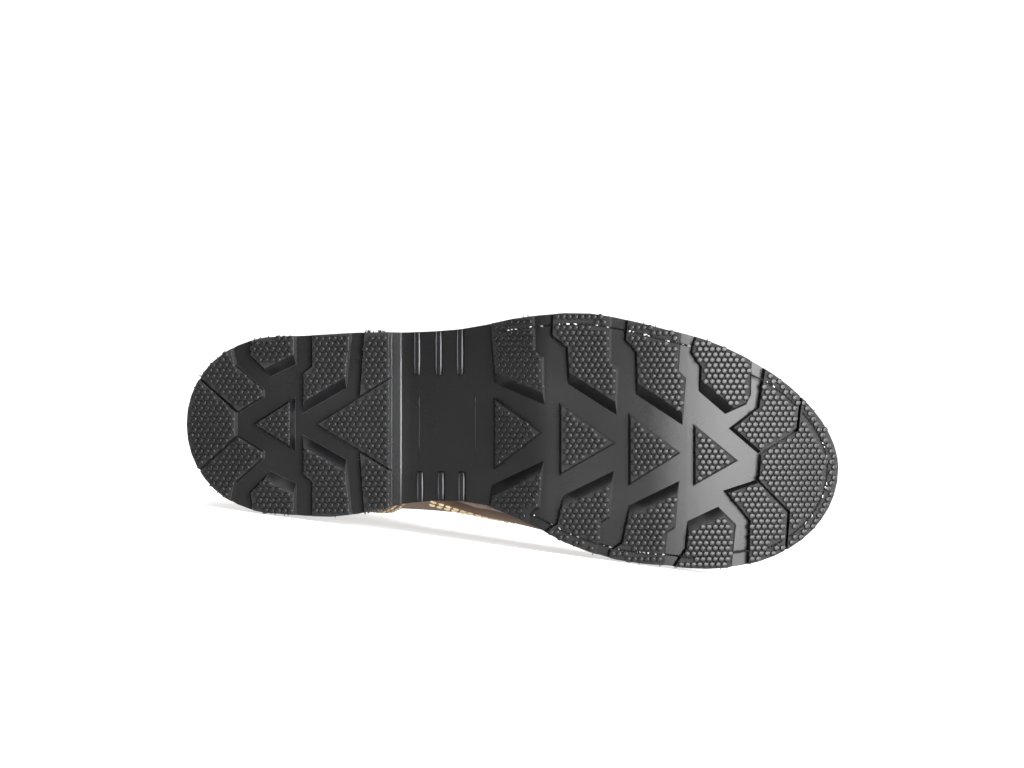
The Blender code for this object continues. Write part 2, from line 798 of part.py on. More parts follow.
# Block that stands across the boot, from its side-view outline.
def side_block(outline, low_y, high_y):
    bm = bmesh.new()
    near = [bm.verts.new((point.x, low_y, point.z)) for point in outline]
    far = [bm.verts.new((point.x, high_y, point.z)) for point in outline]
    bm.faces.new(near)
    bm.faces.new(far[::-1])
    for i in range(len(near)):
        j = (i + 1) % len(near)
        bm.faces.new((near[j], near[i], far[i], far[j]))
    return new_object("side_block", bm)


def make_eyestay(side):
    name = "eyestay_medial" if side == MEDIAL else "eyestay_lateral"
    eyestay = overlay_shell(name)
    low, high = sorted((EYESTAY_INNER[side], side * PAST_EDGE))
    combine(eyestay, side_block(EYESTAY, low, high), "INTERSECT")
    return eyestay


def make_heel_counter():
    counter = overlay_shell("heel_counter")
    combine(counter, side_block(HEEL_COUNTER, -PAST_EDGE, PAST_EDGE), "INTERSECT")
    return counter


def moc_line(shift):
    lateral = [(row.station, centre_line(row.station) - row.half) for row in MOC_SEAM]
    medial = [(row.station, centre_line(row.station) + row.half) for row in MOC_SEAM]
    path = [Vector(point) for point in lateral + medial[::-1]]
    moved = []
    for i, point in enumerate(path):
        before = path[max(i - 1, 0)]
        after = path[min(i + 1, len(path) - 1)]
        along = (after - before).normalized()
        moved.append((point.x + along.y * shift, point.y - along.x * shift))
    return moved


def make_moc_seam():
    half = MOC_SEAM_WIDTH / 2
    band = moc_line(half) + moc_line(-half)[::-1]
    seam = overlay_shell("moc_seam")
    combine(seam, block("band", band, MOC_SEAM_LOW, MOC_SEAM_HIGH), "INTERSECT")
    return seam


def make_tongue():
    bm = bmesh.new()
    rows = []
    for level in TONGUE_LEVELS:
        row = []
        reach = throat_half(level) + TONGUE_TUCK
        for i in range(TONGUE_COLUMNS + 1):
            out = reach * (2 * i / TONGUE_COLUMNS - 1)
            side = MEDIAL if out >= 0 else LATERAL
            around = around_at(level, side, abs(out)) if out else 0.0
            row.append(bm.verts.new(offset_point(level, side, around, -WALL - TONGUE_GAP)))
        rows.append(row)
    for low, high in zip(rows, rows[1:]):
        for i in range(TONGUE_COLUMNS):
            bm.faces.new((low[i], low[i + 1], high[i + 1], high[i]))
    tongue = new_object("tongue", bm)
    faces_front = tongue.data.polygons[TONGUE_COLUMNS // 2].normal.x > 0
    solidify(tongue, TONGUE_THICKNESS, -1.0 if faces_front else 1.0)
    return tongue


def make_eyelet(side, number, level):
    name = "eyelet_{}_{}".format("medial" if side == MEDIAL else "lateral", number)
    around = around_at(level, side, throat_half(level) + EYELET_INSET)
    lift = OVERLAY_LIFT + OVERLAY + CLEARANCE + EYELET_WIRE
    centre = offset_point(level, side, around, lift)
    turn = Vector((0, 0, 1)).rotation_difference(upper_normal(level, side, around)).to_matrix().to_4x4()
    place = Matrix.Translation(centre) @ turn
    bpy.ops.mesh.primitive_torus_add(
        major_segments=12, minor_segments=4, major_radius=EYELET_RADIUS, minor_radius=EYELET_WIRE
    )
    ring = bpy.context.object
    bm = bmesh.new()
    bm.from_mesh(ring.data)
    bm.transform(place)
    bpy.data.objects.remove(ring)
    return new_object(name, bm)


def lace_point(level, side, out, lift):
    around = around_at(level, side, out) if out else 0.0
    return offset_point(level, side, around, lift)


# Round cord through a few points, closed at both ends.
def cord(name, points):
    curve = bpy.data.curves.new(name, "CURVE")
    curve.dimensions = "3D"
    curve.bevel_depth = LACE_RADIUS
    curve.bevel_resolution = 1
    curve.use_fill_caps = True
    spline = curve.splines.new("POLY")
    spline.points.add(len(points) - 1)
    for knot, point in zip(spline.points, points):
        knot.co = (*point, 1.0)
    drawn = bpy.data.objects.new(name, curve)
    bpy.context.scene.collection.objects.link(drawn)
    bpy.context.view_layer.update()
    mesh = bpy.data.meshes.new_from_object(drawn.evaluated_get(bpy.context.evaluated_depsgraph_get()))
    bm = bmesh.new()
    bm.from_mesh(mesh)
    bmesh.ops.remove_doubles(bm, verts=bm.verts, dist=0.01)
    bpy.data.objects.remove(drawn)
    return new_object(name, bm)


def lace_run(name, start_level, start_side, end_level, end_side):
    lift = OVERLAY_LIFT + OVERLAY + CLEARANCE + LACE_RADIUS
    middle = (start_level + end_level) / 2
    start_out = throat_half(start_level) + LACE_END_INSET
    end_out = throat_half(end_level) + LACE_END_INSET
    points = [
        lace_point(start_level, start_side, start_out, lift),
        lace_point(start_level * 0.75 + end_level * 0.25, start_side, start_out / 2, lift),
        lace_point(middle, MEDIAL, 0.0, lift),
        lace_point(start_level * 0.25 + end_level * 0.75, end_side, end_out / 2, lift),
        lace_point(end_level, end_side, end_out, lift),
    ]
    return cord(name, points)


def make_laces():
    low = EYELET_LEVELS[0]
    laces = [lace_run("lace_bar", low, MEDIAL, low, LATERAL)]
    for number, (start, end) in enumerate(zip(EYELET_LEVELS, EYELET_LEVELS[1:]), 1):
        start += LACE_START_RISE
        end -= LACE_END_DROP
        crossing = lace_run("lace_crossing_{}".format(number), start, MEDIAL, end, LATERAL)
        combine(crossing, lace_run("other", start, LATERAL, end, MEDIAL), "UNION")
        laces.append(crossing)
    return laces


Finish = namedtuple("Finish", "name red green blue roughness metallic")
RUBBER = Finish("black_rubber", 0.012, 0.012, 0.013, 0.45, 0.0)
HEEL_RUBBER = Finish("black_heel_rubber", 0.011, 0.011, 0.012, 0.45, 0.0)
LEATHER = Finish("brown_leather", 0.16, 0.075, 0.032, 0.55, 0.0)
OVERLAY_LEATHER = Finish("overlay_leather", 0.15, 0.070, 0.030, 0.55, 0.0)
WELT_LEATHER = Finish("welt_leather", 0.12, 0.085, 0.055, 0.6, 0.0)
BOARD = Finish("insole_board", 0.36, 0.25, 0.15, 0.8, 0.0)
BRASS = Finish("old_brass", 0.30, 0.20, 0.09, 0.4, 1.0)
LACE_CORD = Finish("lace_cord", 0.10, 0.055, 0.022, 0.8, 0.0)


def paint(obj, finish, smooth):
    material = bpy.data.materials.get(finish.name)
    if material is None:
        material = bpy.data.materials.new(finish.name)
        material.use_nodes = True
        shader = material.node_tree.nodes["Principled BSDF"]
        shader.inputs["Base Color"].default_value = (finish.red, finish.green, finish.blue, 1.0)
        shader.inputs["Roughness"].default_value = finish.roughness
        shader.inputs["Metallic"].default_value = finish.metallic
    obj.data.materials.clear()
    obj.data.materials.append(material)
    for polygon in obj.data.polygons:
        polygon.use_smooth = smooth
        polygon.material_index = 0


# Floor plane y = level + forward * x + upward * z that touches ball, heel and collar on the inner side.
def resting_plane(sole, heel, upper):
    ball = [v.co for v in sole.data.vertices if v.co.x > BALL_FROM_X * MM]
    back = [v.co for v in heel.data.vertices]
    collar = [v.co for v in upper.data.vertices if v.co.z > COLLAR_FROM_Z * MM]
    forward = 0.0
    upward = 0.0
    for _ in range(8):
        touches = []
        for group in (ball, back, collar):
            touches.append(max(group, key=lambda co: co.y - forward * co.x - upward * co.z))
        places = Matrix([(1.0, co.x, co.z) for co in touches])
        level, forward, upward = places.inverted() @ Vector([co.y for co in touches])
    return forward, upward


def lay_down(pieces, sole, heel, upper):
    forward, upward = resting_plane(sole, heel, upper)
    up = Vector((forward, -1.0, upward)).normalized()
    ahead = Vector((1.0, 0.0, 0.0))
    ahead = (ahead - ahead.dot(up) * up).normalized()
    across = up.cross(ahead)
    turn = Matrix((ahead, across, up))
    corners = [turn @ v.co for piece in pieces for v in piece.data.vertices]
    low = Vector([min(co[i] for co in corners) for i in range(3)])
    high = Vector([max(co[i] for co in corners) for i in range(3)])
    rest = bpy.data.objects.new("boot_at_rest", None)
    bpy.data.collections["moc_toe_work_boot"].objects.link(rest)
    rest.rotation_euler = turn.to_euler()
    rest.location = (-(low.x + high.x) / 2, -(low.y + high.y) / 2, -low.z)
    for piece in pieces:
        piece.parent = rest


def start_empty():
    for obj in list(bpy.data.objects):
        bpy.data.objects.remove(obj)
    collection = bpy.data.collections.new("moc_toe_work_boot")
    bpy.context.scene.collection.children.link(collection)


def main():
    start_empty()
    outsole = make_outsole()
    heel = make_heel()
    welt = make_welt()
    insole = make_insole()
    upper = make_upper()
    tongue = make_tongue()
    overlays = [make_eyestay(LATERAL), make_eyestay(MEDIAL), make_heel_counter(), make_moc_seam()]
    eyelets = []
    for number, level in enumerate(EYELET_LEVELS, 1):
        for side in (LATERAL, MEDIAL):
            eyelets.append(make_eyelet(side, number, level))
    laces = make_laces()
    paint(outsole, RUBBER, False)
    paint(heel, HEEL_RUBBER, False)
    paint(welt, WELT_LEATHER, False)
    paint(insole, BOARD, False)
    paint(upper, LEATHER, True)
    paint(tongue, LEATHER, True)
    for overlay in overlays:
        paint(overlay, OVERLAY_LEATHER, True)
    for eyelet in eyelets:
        paint(eyelet, BRASS, True)
    for lace in laces:
        paint(lace, LACE_CORD, True)
    pieces = [outsole, heel, welt, insole, upper, tongue] + overlays + eyelets + laces
    lay_down(pieces, outsole, heel, upper)


main()
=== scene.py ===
import json
import math
import random

import bmesh
import bpy
from mathutils import Matrix, Vector
from mathutils.bvhtree import BVHTree


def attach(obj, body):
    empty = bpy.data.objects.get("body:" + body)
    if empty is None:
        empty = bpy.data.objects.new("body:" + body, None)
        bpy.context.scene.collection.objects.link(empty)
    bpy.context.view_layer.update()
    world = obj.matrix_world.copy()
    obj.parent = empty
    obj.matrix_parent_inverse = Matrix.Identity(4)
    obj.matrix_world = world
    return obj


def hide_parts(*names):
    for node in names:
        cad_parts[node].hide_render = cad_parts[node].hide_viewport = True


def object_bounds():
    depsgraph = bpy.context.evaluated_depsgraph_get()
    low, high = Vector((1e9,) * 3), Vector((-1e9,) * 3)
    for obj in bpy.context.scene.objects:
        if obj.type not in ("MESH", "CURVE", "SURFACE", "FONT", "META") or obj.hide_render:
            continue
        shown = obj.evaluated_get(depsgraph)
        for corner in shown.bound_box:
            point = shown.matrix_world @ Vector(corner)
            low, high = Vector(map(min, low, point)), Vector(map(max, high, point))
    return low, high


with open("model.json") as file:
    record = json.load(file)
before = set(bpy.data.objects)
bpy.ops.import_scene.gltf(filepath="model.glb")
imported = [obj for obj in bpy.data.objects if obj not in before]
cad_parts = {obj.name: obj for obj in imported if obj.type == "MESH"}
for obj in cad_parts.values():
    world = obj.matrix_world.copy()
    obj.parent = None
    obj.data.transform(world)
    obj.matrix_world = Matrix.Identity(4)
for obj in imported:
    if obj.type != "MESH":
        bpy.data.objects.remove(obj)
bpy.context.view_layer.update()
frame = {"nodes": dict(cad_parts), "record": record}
nodes = frame["nodes"]
random.seed(7)
mm = 0.001
lateral = -1
medial = 1

# Places of the two mounts in the boot's own frame: x from heel to toe, y to the arch side, z up, millimetres.
mountPlaces = {"heel_tread": (66.3, 33.7), "ball_tread": (184.7, -34.5735)}


def findBootFrame():
    mounts = {mount["name"]: mount for mount in frame["record"]["mounts"]}
    heelAt = Vector(mounts["heel_tread"]["pos_m"])
    ballAt = Vector(mounts["ball_tread"]["pos_m"])
    up = -Vector(mounts["heel_tread"]["axis"]).normalized()
    towardsBall = ballAt - heelAt
    towardsBall -= towardsBall.dot(up) * up
    towardsBall.normalize()
    across = up.cross(towardsBall)
    heelPlace = mountPlaces["heel_tread"]
    ballPlace = mountPlaces["ball_tread"]
    turn = math.atan2(ballPlace[1] - heelPlace[1], ballPlace[0] - heelPlace[0])
    xAxis = math.cos(turn) * towardsBall - math.sin(turn) * across
    yAxis = math.sin(turn) * towardsBall + math.cos(turn) * across
    origin = heelAt - mm * (heelPlace[0] * xAxis + heelPlace[1] * yAxis)
    matrix = Matrix((xAxis, yAxis, up)).transposed().to_4x4()
    matrix.translation = origin
    return matrix


bootFrame = findBootFrame()
bootTurn = bootFrame.to_3x3()
rowToBoot = bootFrame.inverted()


def toRow(x, y, z):
    return bootFrame @ (Vector((x, y, z)) * mm)


def toBoot(point):
    return (rowToBoot @ point) / mm


def smoothstep(t):
    t = min(max(t, 0.0), 1.0)
    return t * t * (3 - 2 * t)


# The boot's bend towards the arch side, ahead of the waist.
lastCurve = {"toMedial": 20.0, "start": 110.0, "length": 192.0}


def centreLine(x):
    return lastCurve["toMedial"] * smoothstep((x - lastCurve["start"]) / lastCurve["length"])


def selectOnly(*objs):
    bpy.ops.object.select_all(action="DESELECT")
    for obj in objs:
        obj.select_set(True)
    bpy.context.view_layer.objects.active = objs[0]


def applyModifiers(obj):
    selectOnly(obj)
    for modifier in list(obj.modifiers):
        bpy.ops.object.modifier_apply(modifier=modifier.name)


# Rounds the edges that are sharper than an angle, in millimetres and degrees.
def addBevel(piece, settings):
    bevel = piece.modifiers.new("roundEdges", "BEVEL")
    bevel.width = settings["edgeRound"] * mm
    bevel.segments = settings["edgeSegments"]
    bevel.limit_method = "ANGLE"
    bevel.angle_limit = math.radians(settings["edgeAngle"])
    return bevel


def copyNode(nodeName, pieceName):
    piece = bpy.data.objects.new(pieceName, nodes[nodeName].data.copy())
    bpy.context.scene.collection.objects.link(piece)
    piece.data.materials.clear()
    selectOnly(piece)
    bpy.ops.object.mode_set(mode="EDIT")
    bpy.ops.mesh.select_all(action="SELECT")
    bpy.ops.mesh.remove_doubles(threshold=0.01 * mm)
    bpy.ops.mesh.normals_make_consistent(inside=False)
    bpy.ops.object.mode_set(mode="OBJECT")
    if piece.data.has_custom_normals:
        bpy.ops.mesh.customdata_custom_splitnormals_clear()
    return piece


def finishPiece(piece, material, slotName, *replaced):
    if material is not None:
        piece.data.materials.clear()
        piece.data.materials.append(material)
    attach(piece, "root")
    if replaced:
        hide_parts(*replaced)
    return piece


def meshPiece(name, points, faces):
    mesh = bpy.data.meshes.new(name)
    mesh.from_pydata([tuple(point) for point in points], [], faces)
    mesh.validate()
    piece = bpy.data.objects.new(name, mesh)
    bpy.context.scene.collection.objects.link(piece)
    selectOnly(piece)
    bpy.ops.object.shade_smooth()
    return piece


def treeOf(*objs):
    points = []
    faces = []
    for obj in objs:
        start = len(points)
        points += [vertex.co.copy() for vertex in obj.data.vertices]
        faces += [[start + index for index in polygon.vertices] for polygon in obj.data.polygons]
    return BVHTree.FromPolygons(points, faces)


def startMaterial(name):
    material = bpy.data.materials.new(name)
    material.use_nodes = True
    return material, material.node_tree, material.node_tree.nodes["Principled BSDF"]


def addNode(tree, kind, values=None, inputs=None):
    node = tree.nodes.new(kind)
    for key, value in (values or {}).items():
        setattr(node, key, value)
    for key, value in (inputs or {}).items():
        node.inputs[key].default_value = value
    return node


def objectPlace(tree):
    return addNode(tree, "ShaderNodeTexCoord").outputs["Object"]


def noise(tree, place, scale, detail=4.0, roughness=0.55):
    inputs = {"Scale": scale, "Detail": detail, "Roughness": roughness}
    node = addNode(tree, "ShaderNodeTexNoise", None, inputs)
    tree.links.new(place, node.inputs["Vector"])
    return node.outputs["Fac"]


def ramp(tree, value, *stops):
    node = addNode(tree, "ShaderNodeValToRGB")
    elements = node.color_ramp.elements
    while len(elements) < len(stops):
        elements.new(0.5)
    for element, (position, colour) in zip(elements, stops):
        element.position = position
        element.color = (*colour, 1.0) if len(colour) == 3 else colour
    tree.links.new(value, node.inputs["Fac"])
    return node.outputs["Color"]


def spread(tree, value, low, high):
    node = addNode(tree, "ShaderNodeMapRange", None, {"To Min": low, "To Max": high})
    tree.links.new(value, node.inputs["Value"])
    return node.outputs["Result"]


def mix(tree, factor, first, second, blend="MIX"):
    node = addNode(tree, "ShaderNodeMix", {"data_type": "RGBA", "blend_type": blend})
    for socket, value in ((node.inputs[0], factor), (node.inputs[6], first), (node.inputs[7], second)):
        if isinstance(value, bpy.types.NodeSocket):
            tree.links.new(value, socket)
        elif isinstance(value, tuple):
            socket.default_value = (*value, 1.0)
        else:
            socket.default_value = value
    return node.outputs[2]


def bump(tree, height, strength, distance, below=None):
    node = addNode(tree, "ShaderNodeBump", None, {"Strength": strength, "Distance": distance})
    tree.links.new(height, node.inputs["Height"])
    if below is not None:
        tree.links.new(below, node.inputs["Normal"])
    return node.outputs["Normal"]


rubber = {
    "dark": (0.0030, 0.0030, 0.0033),
    "light": (0.0056, 0.0056, 0.0060),
    "dust": (0.045, 0.043, 0.041),
    "roughLow": 0.24,
    "roughHigh": 0.30,
    "shine": 0.20,
}


def rubberMaterial(name, dusty, rougher=0.0, lighter=1.0):
    material, tree, shader = startMaterial(name)
    dark = tuple(lighter * share for share in rubber["dark"])
    light = tuple(lighter * share for share in rubber["light"])
    place = objectPlace(tree)
    broad = noise(tree, place, 22.0)
    fine = noise(tree, place, 900.0, 3.0)
    specks = noise(tree, place, 420.0, 6.0, 0.7)
    base = ramp(tree, broad, (0.3, dark), (0.7, light))
    dust = ramp(tree, specks, (0.62, (0.0, 0.0, 0.0)), (0.82, (dusty, dusty, dusty)))
    colour = mix(tree, dust, base, rubber["dust"])
    tree.links.new(colour, shader.inputs["Base Color"])
    rough = spread(tree, broad, rubber["roughLow"] + rougher, rubber["roughHigh"] + rougher)
    tree.links.new(rough, shader.inputs["Roughness"])
    normal = bump(tree, fine, 0.12, 0.1 * mm)
    tree.links.new(normal, shader.inputs["Normal"])
    shader.inputs["Specular IOR Level"].default_value = rubber["shine"]
    return material


leather = {
    "vampDark": (0.062, 0.027, 0.010),
    "vampLight": (0.128, 0.062, 0.026),
    # Colour of the painted shade on the vamp beside the sole.
    "soleShade": (0.030, 0.011, 0.003),
    "quarterDark": (0.088, 0.056, 0.036),
    "quarterLight": (0.148, 0.098, 0.066),
    "worn": (0.24, 0.175, 0.120),
    "pebble": 850.0,
    "pores": 2600.0,
}


# Oiled leather: mottled colour, pebble grain, pores and a dull coat.
# The attribute seamAhead tells vamp from quarter, and a second attribute darkens the vamp beside the sole:
# painted shade where the welt overhangs it.
def leatherMaterial(name, usesPanels):
    material, tree, shader = startMaterial(name)
    place = objectPlace(tree)
    broad = noise(tree, place, 16.0, 5.0)
    middle = noise(tree, place, 95.0, 5.0)
    vamp = ramp(tree, broad, (0.32, leather["vampDark"]), (0.68, leather["vampLight"]))
    quarter = ramp(tree, broad, (0.32, leather["quarterDark"]), (0.68, leather["quarterLight"]))
    if usesPanels:
        ahead = addNode(tree, "ShaderNodeAttribute", {"attribute_name": "seamAhead"}).outputs["Fac"]
        panel = addNode(tree, "ShaderNodeMapRange", None, {"From Min": 0.3, "From Max": -0.3})
        tree.links.new(ahead, panel.inputs["Value"])
        colour = mix(tree, panel.outputs["Result"], vamp, quarter)
    else:
        colour = quarter
    wear = ramp(tree, middle, (0.58, (0.0, 0.0, 0.0)), (0.78, (0.45, 0.45, 0.45)))
    colour = mix(tree, wear, colour, leather["worn"])
    if usesPanels:
        # Painted shade: the vamp darkens towards a near-black brown beside the sole.
        paintedShade = addNode(tree, "ShaderNodeAttribute", {"attribute_name": "soleShade"}).outputs["Fac"]
        colour = mix(tree, paintedShade, colour, leather["soleShade"])
    tree.links.new(colour, shader.inputs["Base Color"])
    pebble = addNode(tree, "ShaderNodeTexVoronoi", None, {"Scale": leather["pebble"]})
    tree.links.new(place, pebble.inputs["Vector"])
    pores = noise(tree, place, leather["pores"], 3.0)
    soft = bump(tree, middle, 0.25, 0.5 * mm)
    grain = bump(tree, pebble.outputs["Distance"], 0.35, 0.18 * mm, soft)
    tree.links.new(bump(tree, pores, 0.2, 0.08 * mm, grain), shader.inputs["Normal"])
    tree.links.new(spread(tree, middle, 0.42, 0.66), shader.inputs["Roughness"])
    shader.inputs["Specular IOR Level"].default_value = 0.28
    shader.inputs["Coat Weight"].default_value = 0.07
    shader.inputs["Coat Roughness"].default_value = 0.45
    return material


lining = {
    "dark": (0.23, 0.150, 0.088),
    "light": (0.34, 0.235, 0.145),
    "patches": 20.0,
    "nap": 1500.0,
    "relief": (0.4, 0.15 * mm),
    "rough": (0.75, 0.95),
}
insoleBoard = {
    "dark": (0.28, 0.19, 0.115),
    "light": (0.40, 0.29, 0.185),
    "patches": 25.0,
    "nap": 1200.0,
    "relief": (0.3, 0.12 * mm),
    "rough": (0.7, 0.9),
}


# Matte surface with a fine nap, for the lining and the insole.
def nappedMaterial(name, settings):
    material, tree, shader = startMaterial(name)
    place = objectPlace(tree)
    broad = noise(tree, place, settings["patches"])
    nap = noise(tree, place, settings["nap"], 5.0, 0.7)
    colour = ramp(tree, broad, (0.3, settings["dark"]), (0.7, settings["light"]))
    tree.links.new(colour, shader.inputs["Base Color"])
    tree.links.new(bump(tree, nap, *settings["relief"]), shader.inputs["Normal"])
    tree.links.new(spread(tree, nap, *settings["rough"]), shader.inputs["Roughness"])
    return material


weltLeather = {"dark": (0.125, 0.090, 0.072), "light": (0.21, 0.160, 0.130), "layerShade": (0.72, 0.70, 0.68)}


def weltMaterial():
    material, tree, shader = startMaterial("welt_leather")
    place = objectPlace(tree)
    stretch = addNode(tree, "ShaderNodeMapping", None, {"Scale": (1.0, 6.0, 1.0)})
    tree.links.new(place, stretch.inputs["Vector"])
    layers = noise(tree, stretch.outputs["Vector"], 210.0, 5.0)
    broad = noise(tree, place, 30.0)
    colour = ramp(tree, broad, (0.3, weltLeather["dark"]), (0.7, weltLeather["light"]))
    edges = ramp(tree, layers, (0.4, weltLeather["layerShade"]), (0.65, (1.0, 1.0, 1.0)))
    tree.links.new(mix(tree, 1.0, colour, edges, "MULTIPLY"), shader.inputs["Base Color"])
    tree.links.new(bump(tree, layers, 0.3, 0.2 * mm), shader.inputs["Normal"])
    tree.links.new(spread(tree, layers, 0.5, 0.75), shader.inputs["Roughness"])
    return material


def threadMaterial(name, dark, light):
    material, tree, shader = startMaterial(name)
    place = objectPlace(tree)
    patches = noise(tree, place, 260.0, 4.0)
    twist = addNode(tree, "ShaderNodeTexWave", None, {"Scale": 1400.0, "Distortion": 3.0})
    tree.links.new(place, twist.inputs["Vector"])
    tree.links.new(ramp(tree, patches, (0.35, dark), (0.65, light)), shader.inputs["Base Color"])
    tree.links.new(bump(tree, twist.outputs["Fac"], 0.5, 0.12 * mm), shader.inputs["Normal"])
    tree.links.new(spread(tree, patches, 0.6, 0.85), shader.inputs["Roughness"])
    return material


laceCord = {"dark": (0.075, 0.040, 0.016), "light": (0.15, 0.085, 0.038)}


def laceMaterial():
    material, tree, shader = startMaterial("lace_cord")
    place = objectPlace(tree)
    weave = addNode(tree, "ShaderNodeTexVoronoi", None, {"Scale": 1150.0})
    tree.links.new(place, weave.inputs["Vector"])
    broad = noise(tree, place, 120.0)
    colour = ramp(tree, broad, (0.3, laceCord["dark"]), (0.7, laceCord["light"]))
    tree.links.new(colour, shader.inputs["Base Color"])
    tree.links.new(bump(tree, weave.outputs["Distance"], 0.7, 0.3 * mm), shader.inputs["Normal"])
    tree.links.new(spread(tree, broad, 0.7, 0.9), shader.inputs["Roughness"])
    return material


brass = {"dark": (0.13, 0.085, 0.040), "light": (0.36, 0.25, 0.12)}


def brassMaterial():
    material, tree, shader = startMaterial("old_brass")
    place = objectPlace(tree)
    tarnish = noise(tree, place, 500.0, 5.0)
    colour = ramp(tree, tarnish, (0.35, brass["dark"]), (0.65, brass["light"]))
    tree.links.new(colour, shader.inputs["Base Color"])
    tree.links.new(spread(tree, tarnish, 0.25, 0.5), shader.inputs["Roughness"])
    tree.links.new(bump(tree, tarnish, 0.1, 0.1 * mm), shader.inputs["Normal"])
    shader.inputs["Metallic"].default_value = 1.0
    return material


# Sole: rounded lug edges, domes on every lug face and the stitched channel

soleSettings = {
    "edgeRound": 0.65,
    "edgeSegments": 3,
    "edgeAngle": 28.0,
    "smoothAngle": 40.0,
    "stripLength": 4.0,
    "plateThickness": 6.5,
    "plateTop": 11.5,
    "heelBlock": 16.7,
    "lugDepth": 5.0,
    "slack": 0.35,
    "plainMaterial": 0,
    "faceMaterial": 1,
    "edgeMaterial": 2,
}
foreThickness = soleSettings["plateThickness"] + soleSettings["lugDepth"] - soleSettings["slack"]
heelThickness = soleSettings["heelBlock"] + soleSettings["lugDepth"] - soleSettings["slack"]


# Stations between which the solid's plate is straight, with its rise there.
plateRises = [
    (99.5, 17.0), (110, 15.4), (122, 11.8), (134, 7.4), (146, 3.4), (157, 0.9), (166, 0.0),
    (214, 0.0), (230, 0.6), (245, 2.0), (258, 3.8), (270, 5.9), (281, 8.1), (291, 10.3), (320, 17.0),
]
flatStations = (99.5, 166, 214)


def slopeAt(index):
    if plateRises[index][0] in flatStations:
        return 0.0
    lowX, lowRise = plateRises[index - 1]
    highX, highRise = plateRises[min(index + 1, len(plateRises) - 1)]
    return (highRise - lowRise) / (highX - lowX)


# How far a smooth curve through the stations lies above the straight plate.
def curveLift(x):
    for index in range(len(plateRises) - 1):
        (lowX, lowRise), (highX, highRise) = plateRises[index], plateRises[index + 1]
        if lowX <= x <= highX:
            length = highX - lowX
            t = (x - lowX) / length
            straight = (highRise - lowRise) / length
            lowBend = (slopeAt(index) - straight) * length
            highBend = (slopeAt(index + 1) - straight) * length
            return t * (1 - t) * (lowBend * (1 - t) - highBend * t)
    return 0.0


# Cuts the plate into narrow strips and lays them on the smooth curve.
def curvePlate(piece):
    mesh = bmesh.new()
    mesh.from_mesh(piece.data)
    x = plateRises[0][0]
    while x < plateRises[-1][0]:
        everything = mesh.verts[:] + mesh.edges[:] + mesh.faces[:]
        bmesh.ops.bisect_plane(mesh, geom=everything, plane_co=toRow(x, 0.0, 0.0), plane_no=bootTurn.col[0])
        x += soleSettings["stripLength"]
    for vertex in mesh.verts:
        vertex.co += bootTurn.col[2] * curveLift(toBoot(vertex.co).x) * mm
    mesh.to_mesh(piece.data)
    mesh.free()


# Rounds the edges of a rubber piece and gives them a lighter rubber, a painted highlight.
def roundRubber(piece):
    selectOnly(piece)
    bpy.ops.object.mode_set(mode="EDIT")
    bpy.ops.mesh.select_all(action="SELECT")
    bpy.ops.mesh.dissolve_limited(angle_limit=math.radians(1.0))
    bpy.ops.object.mode_set(mode="OBJECT")
    bevel = addBevel(piece, soleSettings)
    # The rounded edges get the lighter rubber, a painted highlight.
    bevel.material = soleSettings["edgeMaterial"]
    applyModifiers(piece)


# Smooth shading that keeps the large faces flat.
def shadeRubber(piece):
    selectOnly(piece)
    bpy.ops.object.shade_smooth_by_angle(angle=math.radians(soleSettings["smoothAngle"]))
    weighted = piece.modifiers.new("flatFaces", "WEIGHTED_NORMAL")
    weighted.mode = "FACE_AREA"
    weighted.weight = 70
    weighted.keep_sharp = True
    applyModifiers(piece)


# Gives the lug faces between the domes their matte finish.
def matteFaces(piece, tree, fullThickness):
    for polygon in piece.data.polygons:
        place = toBoot(polygon.center)
        thickness, low = thicknessAt(tree, place.x, place.y)[:2]
        onFace = thickness > fullThickness and (low - polygon.center).length < mm
        if onFace and polygon.material_index == soleSettings["plainMaterial"]:
            polygon.material_index = soleSettings["faceMaterial"]


# Copy of a rubber node with rounded edges, lightened as a painted highlight.
def roundedRubber(nodeName, pieceName, materials, tree, fullThickness):
    piece = copyNode(nodeName, pieceName)
    for material in materials:
        piece.data.materials.append(material)
    roundRubber(piece)
    if nodeName == "outsole":
        curvePlate(piece)
    shadeRubber(piece)
    matteFaces(piece, tree, fullThickness)
    return finishPiece(piece, None, "sole_rubber", nodeName)


rayStart = {"below": -40.0, "above": 120.0}  # heights well clear of the boot


def castFromBelow(tree, x, y):
    return tree.ray_cast(toRow(x, y, rayStart["below"]), bootTurn.col[2])


def castFromAbove(tree, x, y):
    return tree.ray_cast(toRow(x, y, rayStart["above"]), -bootTurn.col[2])


def thicknessAt(tree, x, y):
    low, normal = castFromBelow(tree, x, y)[:2]
    high = castFromAbove(tree, x, y)[0]
    if low is None or high is None:
        return 0.0, None, None
    return (high - low).length / mm, low, normal


# A soft step up to the waist and a toe spring that grows towards the tip.
soleCurve = {
    "flatEnd": 214.0,
    "waistRise": 15.4,
    "waistFoot": 163.0,
    "waistLength": 62.0,
    "toeRise": 17.0,
    "toeFoot": 210.0,
    "toeLength": 110.0,
    "toePower": 1.75,
}


def soleRise(x):
    if x < soleCurve["flatEnd"]:
        return soleCurve["waistRise"] * smoothstep((soleCurve["waistFoot"] - x) / soleCurve["waistLength"])
    share = (x - soleCurve["toeFoot"]) / soleCurve["toeLength"]
    return soleCurve["toeRise"] * share ** soleCurve["toePower"]


forefoot = {
    "threadInset": 5.0,
    "lateralStart": 143.0,
    "medialStart": 156.0,
    "toeCentre": 222.0,
    "toeRadius": 62.0,
    "toeEnd": 296.0,
    "toeMiddle": 285.0,
    "edgeHeight": 9.0,
    "sideRays": 120.0,
    "toeRays": 140.0,
}


